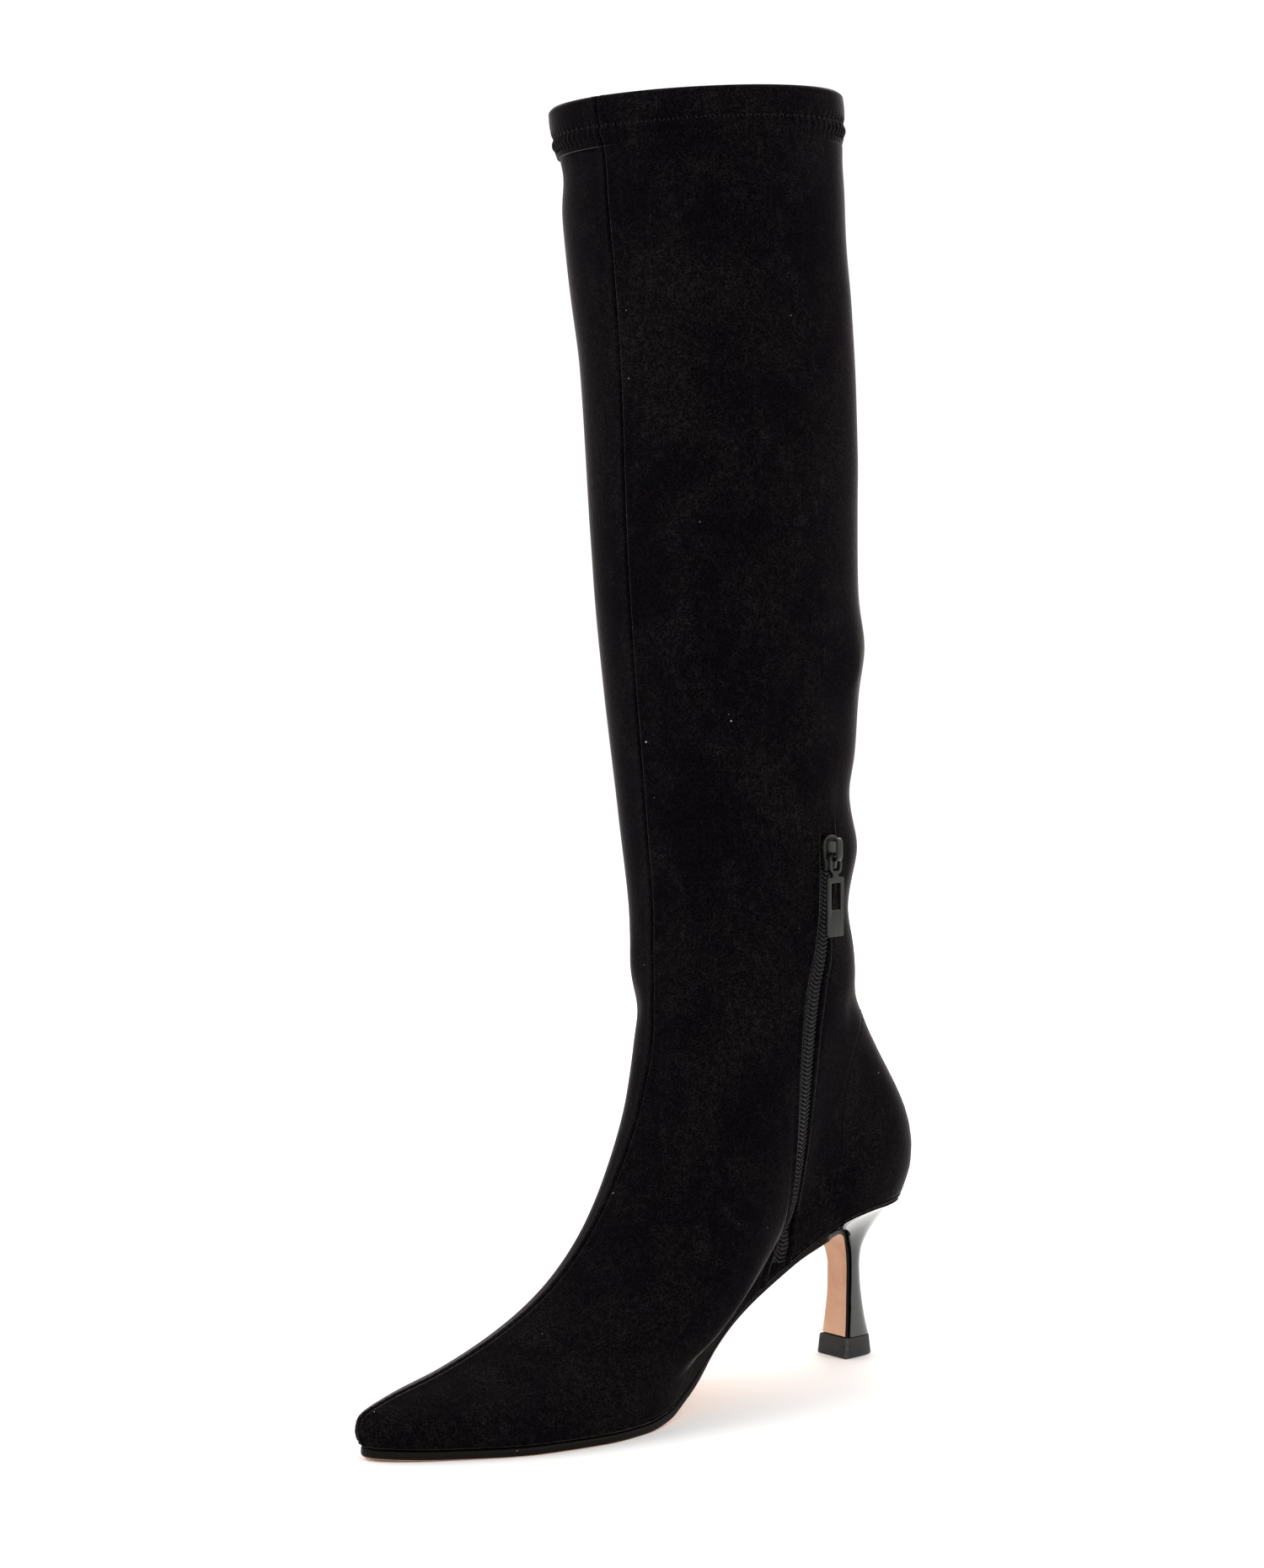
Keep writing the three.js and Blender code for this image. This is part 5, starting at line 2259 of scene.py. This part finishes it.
@dataclass
class Sole:
    """The outsole, which runs to the heel and down its front, and the insole inside the boot.

    Attributes:
        last: The last.
        gap: Clearance between pieces, mm.
        thickness: Thickness of the sole under the foot, mm.
        leaves: Share of the foot, from the back, where the sole leaves the upper.
        waist: How far its edge is tucked under between ball and heel, mm.
        edge: Section of its edge: inset and share of the thickness, from the top face down.
        under: Places across its underside, as shares of its width.
        insole_inset: How far inside the skin the insole stands, mm.
        foot_stations: Sections under the foot.
        tail_stations: Sections from the seat down the heel.
    """

    last: Last
    gap: float = 0.3
    thickness: float = 2.9
    leaves: float = 0.215
    waist: float = 1.5
    edge: tuple[tuple[float, float], ...] = (
        (0.55, 0.0), (0.2, 0.03), (0.03, 0.12), (0.0, 0.3),
        (0.0, 0.62), (0.08, 0.76), (0.3, 0.9), (0.75, 1.0),
    )
    under: tuple[float, ...] = (0.15, 0.35, 0.5, 0.65, 0.85)
    insole_inset: float = 4.0
    foot_stations: int = 170
    tail_stations: int = 90

    @property
    def seat_angle(self) -> float:
        """Side angle where the sole leaves the upper."""
        return math.acos(2 * self.leaves - 1)

    def outline(self, angle: Array) -> Array:
        """The feather line at those side angles."""
        return self.last.point(angle, np.zeros_like(angle))

    def foot(self, count: int) -> Strap:
        """The stations under the foot, from the toe back.

        Args:
            count: How many.

        Returns:
            The stations.
        """
        angle = self.seat_angle * np.linspace(0, 1, count) ** 1.25
        right, left = self.outline(angle), self.outline(-angle)
        around = self.outline(angle + 0.004) - self.outline(angle - 0.004)
        across = self.outline(-angle + 0.004) - self.outline(-angle - 0.004)
        right_in = unit(np.stack([-around[:, 1], around[:, 0], np.zeros(count)], -1))
        left_in = unit(np.stack([-across[:, 1], across[:, 0], np.zeros(count)], -1))
        top = right[:, 2] - self.gap
        low = np.maximum(top - self.thickness, 0.0)
        along = (1 + np.cos(angle)) / 2
        inset = self.waist * smoothstep(0.2, 0.27, along) * smoothstep(0.52, 0.42, along)
        left += left_in * inset[:, None]
        right += right_in * inset[:, None]
        for edge in (left, right):
            edge[:, 2] = top
        down = np.broadcast_to([0.0, 0.0, -1.0], (count, 3))
        return Strap(left, right, left_in, right_in, down, top - low)

    def tail(self, foot: Strap, count: int) -> Strap:
        """The stations from the seat down the front of the heel.

        Args:
            foot: The stations before them, which they carry on smoothly.
            count: How many.

        Returns:
            The stations.
        """
        rows = np.array(SOLE_TAIL, float)
        end = [
            [(foot.left[k, 1] + foot.right[k, 1]) / 2, foot.left[k, 2] - foot.thick[k],
             (foot.right[k, 0] - foot.left[k, 0]) / 2, foot.thick[k]]
            for k in (-6, -1)
        ]
        middle = [(foot.left[k, 0] + foot.right[k, 0]) / 2 for k in (-6, -1)]
        rows = np.concatenate([np.array(end), rows])
        centre = np.concatenate([middle, np.zeros(len(SOLE_TAIL))])
        centre[2:5] = middle[1] * np.array([0.62, 0.3, 0.1])
        run = np.concatenate([[0.0], np.cumsum(np.hypot(*np.diff(rows[:, :2], axis=0).T))])
        at = np.linspace(run[1], run[-1], count + 1)[1:]
        y, z, half, thick = (MonotoneCurve(run, rows[:, i])(at) for i in range(4))
        x = MonotoneCurve(run, centre)(at)
        step = at[1] - at[0]
        ahead, behind = at + 0.5 * step, at - 0.5 * step
        dy = MonotoneCurve(run, rows[:, 0])(ahead) - MonotoneCurve(run, rows[:, 0])(behind)
        dz = MonotoneCurve(run, rows[:, 1])(ahead) - MonotoneCurve(run, rows[:, 1])(behind)
        down = unit(np.stack([np.zeros(count), dz, -dy], -1))
        face = np.stack([x, y, z], -1)
        top = face - down * thick[:, None]
        side = np.array([1.0, 0.0, 0.0])
        return Strap(
            top - side * half[:, None], top + side * half[:, None],
            np.broadcast_to(side, (count, 3)), np.broadcast_to(-side, (count, 3)), down, thick,
        )

    def sections(self, strap: Strap) -> Array:
        """Closed sections with eased edges.

        Args:
            strap: The stations.

        Returns:
            Points, one row of sections per station.
        """
        width = np.linalg.norm(strap.right - strap.left, axis=-1)
        columns = []
        for inset, drop in self.edge:
            columns.append(strap.right + strap.right_in * inset + strap.down * (strap.thick * drop)[:, None])
        low_right = columns[-1]
        low_left = strap.left + strap.left_in * self.edge[-1][0] + strap.down * strap.thick[:, None]
        crown = np.minimum(width * 0.01, 0.25)
        for share in self.under:
            sag = crown * 4 * share * (1 - share)
            columns.append(low_right + (low_left - low_right) * share - strap.down * sag[:, None])
        for inset, drop in reversed(self.edge):
            columns.append(strap.left + strap.left_in * inset + strap.down * (strap.thick * drop)[:, None])
        top_left, top_right = columns[-1], columns[0]
        for share in (0.25, 0.5, 0.75):
            columns.append(top_left + (top_right - top_left) * share)
        return np.stack(columns, axis=1)

    def outsole(self, finishes: Finishes) -> Piece:
        """Builds and dresses the outsole.

        Args:
            finishes: The boot's finishes.

        Returns:
            The piece.
        """
        foot = self.foot(self.foot_stations)
        tail = self.tail(foot, self.tail_stations)
        points = np.concatenate([self.sections(foot), self.sections(tail)])
        rows, columns = points.shape[:2]
        bench = MeshBench("outsole_sheet")
        edge = len(self.edge)
        inked = np.ones(columns, int)
        inked[edge - 2 : edge + len(self.under) + 1] = 0
        bench.add_tube(points, np.tile(inked, rows - 1), 1)
        piece = bench.build([finishes.tan, finishes.ink], CRISP)
        return dress(piece, BOOT, Slot.SOLE, "outsole")

    def insole_plate(self, finishes: Finishes) -> Piece:
        """Builds and dresses the insole.

        Args:
            finishes: The boot's finishes.

        Returns:
            The piece.
        """
        angle = np.linspace(0.0, math.pi, 150)
        profile = ((0.0, 0.1), (0.0, 1.9), (0.35, 2.35), (0.9, 2.55))
        columns = []
        for side in (1.0, -1.0):
            rows = []
            for inset, lift in profile:
                height = np.full_like(angle, 1.0 + lift)
                p = self.last.skin(angle * side, height, -(self.insole_inset + inset))
                p[:, 2] = self.outline(angle)[:, 2] + lift
                rows.append(p)
            columns.append(rows if side > 0 else rows[::-1])
        right, left = columns
        across = [right[-1] + (left[0] - right[-1]) * s for s in (0.12, 0.3, 0.5, 0.7, 0.88)]
        under = [left[-1] + (right[0] - left[-1]) * s for s in (0.3, 0.7)]
        for p, s in zip(across, (0.5, 0.85, 1.0, 0.85, 0.5)):
            p[:, 2] -= 0.5 * s
        bench = MeshBench("insole_sock")
        bench.add_tube(np.stack([*right, *across, *left, *under], axis=1))
        piece = bench.build([finishes.sock], CRISP)
        lay_map(piece.data)
        return dress(piece, BOOT, Slot.INSOLE, "insole")


@dataclass
class Heel:
    """The flared heel with its cup under the seat, and the rubber top piece it stands on.

    Attributes:
        sole: The sole it is cut to.
        front_points: Points across its flat front.
        side_points: Points round its sides and back.
        levels: Rings up the heel.
        ease: Width of its eased edges, mm.
        eased_deg: Angle beyond which an edge is eased.
        sharp_deg: Angle beyond which an edge is shaded sharp.
        tread: Front, back and half width of the top piece at the floor, mm.
        tread_top: The same at its top, mm.
        tread_height: Height of the top piece, mm.
        tread_profile: Its side from the floor up: height and how far it is eased in, mm.
        room_aside: How far the room cut for the sole reaches past its sides, mm.
        room_below: How far it reaches past the sole's outer face, mm.
    """

    sole: Sole
    front_points: int = 16
    side_points: int = 84
    levels: int = 70
    ease: float = 0.25
    eased_deg: float = 42.0
    sharp_deg: float = 38.0
    tread: tuple[float, float, float] = (-29.7, -13.8, 7.4)
    tread_top: tuple[float, float, float] = (-28.9, -14.9, 7.2)
    tread_height: float = 7.3
    tread_profile: tuple[tuple[float, float], ...] = (
        (0.0, 0.5), (0.15, 0.2), (0.5, 0.0), (2.5, 0.0), (4.7, 0.0), (6.6, 0.0), (7.0, 0.1), (7.3, 0.4),
    )
    room_aside: float = 5.0
    room_below: float = 8.0

    def ring(self, front: float, back: float, half: float, z: float) -> Array:
        """A D-shaped ring, flat in front.

        Args:
            front: Its front, mm.
            back: Its back, mm.
            half: Its half width, mm.
            z: Its height, mm.

        Returns:
            Its points, from the outer front corner across the front and round the heel.
        """
        across = -half + 2 * half * np.arange(self.front_points) / self.front_points
        a = math.pi * np.arange(self.side_points) / self.side_points
        x = half * np.sign(np.cos(a)) * np.abs(np.cos(a)) ** 0.5
        y = front + (back - front) * np.sin(a) ** 0.8
        flat = np.stack([across, np.full_like(across, front)], -1)
        points = np.concatenate([flat, np.stack([x, y], -1)])
        return np.concatenate([points, np.full((len(points), 1), z)], axis=1)

    def seat(self) -> Array:
        """The outline of the seat, point for point with the D-shaped rings."""
        start = self.sole.seat_angle + 0.03
        ends = self.sole.outline(np.array([-start, start]))
        share = (np.arange(self.front_points) / self.front_points)[:, None]
        chord = ends[0] + (ends[1] - ends[0]) * share
        angle = start + (2 * math.pi - 2 * start) * np.arange(self.side_points) / self.side_points
        points = np.concatenate([chord, self.sole.outline(angle)])
        points[:, 2] -= self.sole.gap
        return points

    def solid(self) -> Piece:
        """The heel before the sole is cut from it."""
        rows = np.array(HEEL_ROWS, float)
        z = np.linspace(rows[0, 0], rows[-1, 0], self.levels)
        front, back, half, seat = (MonotoneCurve(rows[:, 0], rows[:, i])(z) for i in range(1, 5))
        outline = self.seat()
        rings = []
        for k in range(self.levels):
            low = self.ring(front[k], back[k], half[k], z[k])
            rings.append(low + (outline - low) * seat[k])
        bench = MeshBench("heel_block")
        bench.add_tube(np.stack(rings), flips=(True, False))
        return bench.build([])

    def cutter(self) -> Piece:
        """The sole with room round it, which is cut from the heel."""
        coarse, first_used = 60, 30
        foot = self.sole.foot(coarse)
        tail = self.sole.tail(self.sole.foot(self.sole.foot_stations), self.sole.tail_stations)
        rows = []
        for strap, first in ((foot, first_used), (tail, 0)):
            side = np.array([self.room_aside, 0.0, 0.0])
            lift = strap.down * -self.sole.gap
            drop = strap.down * (strap.thick + self.room_below)[:, None]
            rows.append(np.stack([
                strap.left - side + lift, strap.right + side + lift,
                strap.right + side + drop, strap.left - side + drop,
            ], axis=1)[first:])
        points = np.concatenate(rows)
        bench = MeshBench("sole_room")
        start = bench.add_points(points)
        bench.add_faces(grid_faces(len(points), 4, start, wrap=True))
        bench.add_faces([[start + 3, start + 2, start + 1, start]])
        last = start + 4 * (len(points) - 1)
        bench.add_faces([[last, last + 1, last + 2, last + 3]])
        return bench.build([])

    def block(self, finishes: Finishes) -> Piece:
        """Builds and dresses the heel.

        Args:
            finishes: The boot's finishes.

        Returns:
            The piece.
        """
        solid, cutter = self.solid(), self.cutter()
        cut = solid.modifiers.new("cut", "BOOLEAN")
        cut.operation = "DIFFERENCE"
        cut.solver = "EXACT"
        cut.object = cutter
        eased = solid.modifiers.new("ease", "BEVEL")
        eased.width = self.ease * MM
        eased.segments = 2
        eased.limit_method = "ANGLE"
        eased.angle_limit = math.radians(self.eased_deg)
        eased.use_clamp_overlap = True
        mesh = with_modifiers("heel_lacquered", solid)
        bpy.data.objects.remove(cutter)
        mesh.materials.clear()
        mesh.materials.append(finishes.lacquer)
        shade(mesh, self.sharp_deg)
        return dress(placed(mesh.name, mesh), BOOT, Slot.HEEL, "heel")

    def top_piece(self, finishes: Finishes) -> Piece:
        """Builds and dresses the rubber top piece.

        Args:
            finishes: The boot's finishes.

        Returns:
            The piece.
        """
        low, high = np.array(self.tread), np.array(self.tread_top)
        rings = []
        for z, inset in self.tread_profile:
            front, back, half = low + (high - low) * z / self.tread_height
            rings.append(self.ring(front + inset, back - inset, half - inset, z))
        bench = MeshBench("heel_tread_rubber")
        bench.add_tube(np.stack(rings), flips=(True, False))
        piece = bench.build([finishes.rubber], CRISP)
        return dress(piece, BOOT, Slot.RUBBER, "top_piece")


# ---------------------------------------------------------------- the studio


@dataclass
class Studio:
    """A white studio: pale floor, even sky, large soft lights and the camera.

    Attributes:
        bearing: The camera's bearing from the toe round to the inner side, degrees.
        aim: Point on the floor the camera's bearing passes through, mm.
        distance: The camera's distance from it, mm.
        eye: The camera's height, mm.
        aside: How far the camera stands to the left of that bearing, mm.
        yaw: Turn of the view to centre the boot, degrees.
        pitch: Downward tilt of the view, degrees.
        lens: Focal length for the sensor's long side, mm.
        sensor: Long side of the sensor, mm.
        sky: Strength of the sky.
        floor_half: Half the floor's side, metres.
        facing: Height the lights face, metres.
    """

    bearing: float = 47.0
    aim: tuple[float, float] = (0.0, -22.0)
    distance: float = 1104.0
    eye: float = 256.0
    aside: float = 2.34
    yaw: float = 3.9
    pitch: float = 2.66
    lens: float = 71.0
    sensor: float = 36.0
    sky: float = 1.06
    floor_half: float = 30.0
    facing: float = 0.2

    def camera(self) -> None:
        """Sets the camera up."""
        a = math.radians(self.bearing)
        right = np.array([math.cos(a), math.sin(a), 0.0])
        towards = np.array([math.sin(a), -math.cos(a), 0.0])
        spot = np.array([*self.aim, 0.0]) + towards * self.distance - right * self.aside
        spot[2] = self.eye
        data = bpy.data.cameras.new("camera")
        data.lens = self.lens
        data.sensor_width = self.sensor
        data.clip_start, data.clip_end = 0.05, 60.0
        camera = placed("camera", data)
        camera.location = Vector(to_part(spot))
        turn = math.radians(self.yaw)
        look = -towards * math.cos(turn) - right * math.sin(turn)
        tilt = math.radians(self.pitch)
        look = look * math.cos(tilt) + np.array([0.0, 0.0, -math.sin(tilt)])
        camera.rotation_mode = "QUATERNION"
        camera.rotation_quaternion = Vector(look).to_track_quat("-Z", "Y")
        bpy.context.scene.camera = camera

    def light(self, name: str, place: Colour, size: float, watts: float, warmth: Colour = (1, 1, 1)) -> None:
        """Adds a soft square light that faces the boot.

        Args:
            name: Its name.
            place: Where it stands, metres.
            size: Its side, metres.
            watts: Its power.
            warmth: Its colour.
        """
        data = bpy.data.lights.new(name, "AREA")
        data.shape = "SQUARE"
        data.size = size
        data.energy = watts
        data.color = warmth
        light = placed(name, data)
        light.location = Vector(place)
        light.rotation_mode = "QUATERNION"
        light.rotation_quaternion = (Vector((0, 0, self.facing)) - Vector(place)).to_track_quat("-Z", "Y")

    def floor(self) -> None:
        """Lays the pale floor."""
        mesh = bpy.data.meshes.new("studio_floor")
        half = self.floor_half
        corner = [(-half, -half, 0), (half, -half, 0), (half, half, 0), (-half, half, 0)]
        mesh.from_pydata(corner, [], [(0, 1, 2, 3)])
        material = bpy.data.materials.new("studio_floor")
        material.use_nodes = True
        bench = NodeBench(material.node_tree)
        shader = material.node_tree.nodes["Principled BSDF"]
        bench.feed(shader.inputs["Specular IOR Level"], 0.1)
        bench.feed(shader.inputs["Roughness"], 0.7)
        tone = bench.fit(bench.noise(bench.place(), 3.0, 2.0), 0.3, 0.7)
        bench.feed(shader.inputs["Base Color"], bench.blend(tone, (0.955, 0.95, 0.948), (0.965, 0.96, 0.958)))
        mesh.materials.append(material)
        placed(mesh.name, mesh)

    def build(self) -> None:
        """Sets up the camera, floor, sky and lights."""
        self.camera()
        self.floor()
        world = bpy.data.worlds.new("studio_sky")
        world.use_nodes = True
        sky = world.node_tree.nodes["Background"]
        sky.inputs["Color"].default_value = (1.0, 1.0, 1.0, 1.0)
        sky.inputs["Strength"].default_value = self.sky
        scene = bpy.context.scene
        scene.world = world
        scene.view_settings.view_transform = "Standard"
        self.light("key", (-0.9, -1.7, 1.6), 1.6, 26)
        self.light("side", (1.9, 0.6, 1.1), 1.4, 16, (1.0, 0.97, 0.94))
        self.light("rim", (-1.2, 1.5, 1.3), 1.4, 18, (1.0, 0.98, 0.95))
        LOG.info("studio ready")


def main() -> None:
    """Builds the boot."""
    logging.basicConfig(level=logging.INFO, format="%(name)s: %(message)s", force=True)
    Studio().build()
    finishes = Finishes()
    last = Last()
    relief = Relief(last)
    Upper(last, relief).build(finishes)
    hem = Hem(last, relief)
    hem.build(finishes)
    Stitching(last, relief, hem, StitchTree()).build(finishes)
    Zip(last, relief, CoilTree()).build(finishes)
    sole = Sole(last)
    sole.outsole(finishes)
    sole.insole_plate(finishes)
    heel = Heel(sole)
    heel.block(finishes)
    heel.top_piece(finishes)


if __name__ == "__main__":
    main()
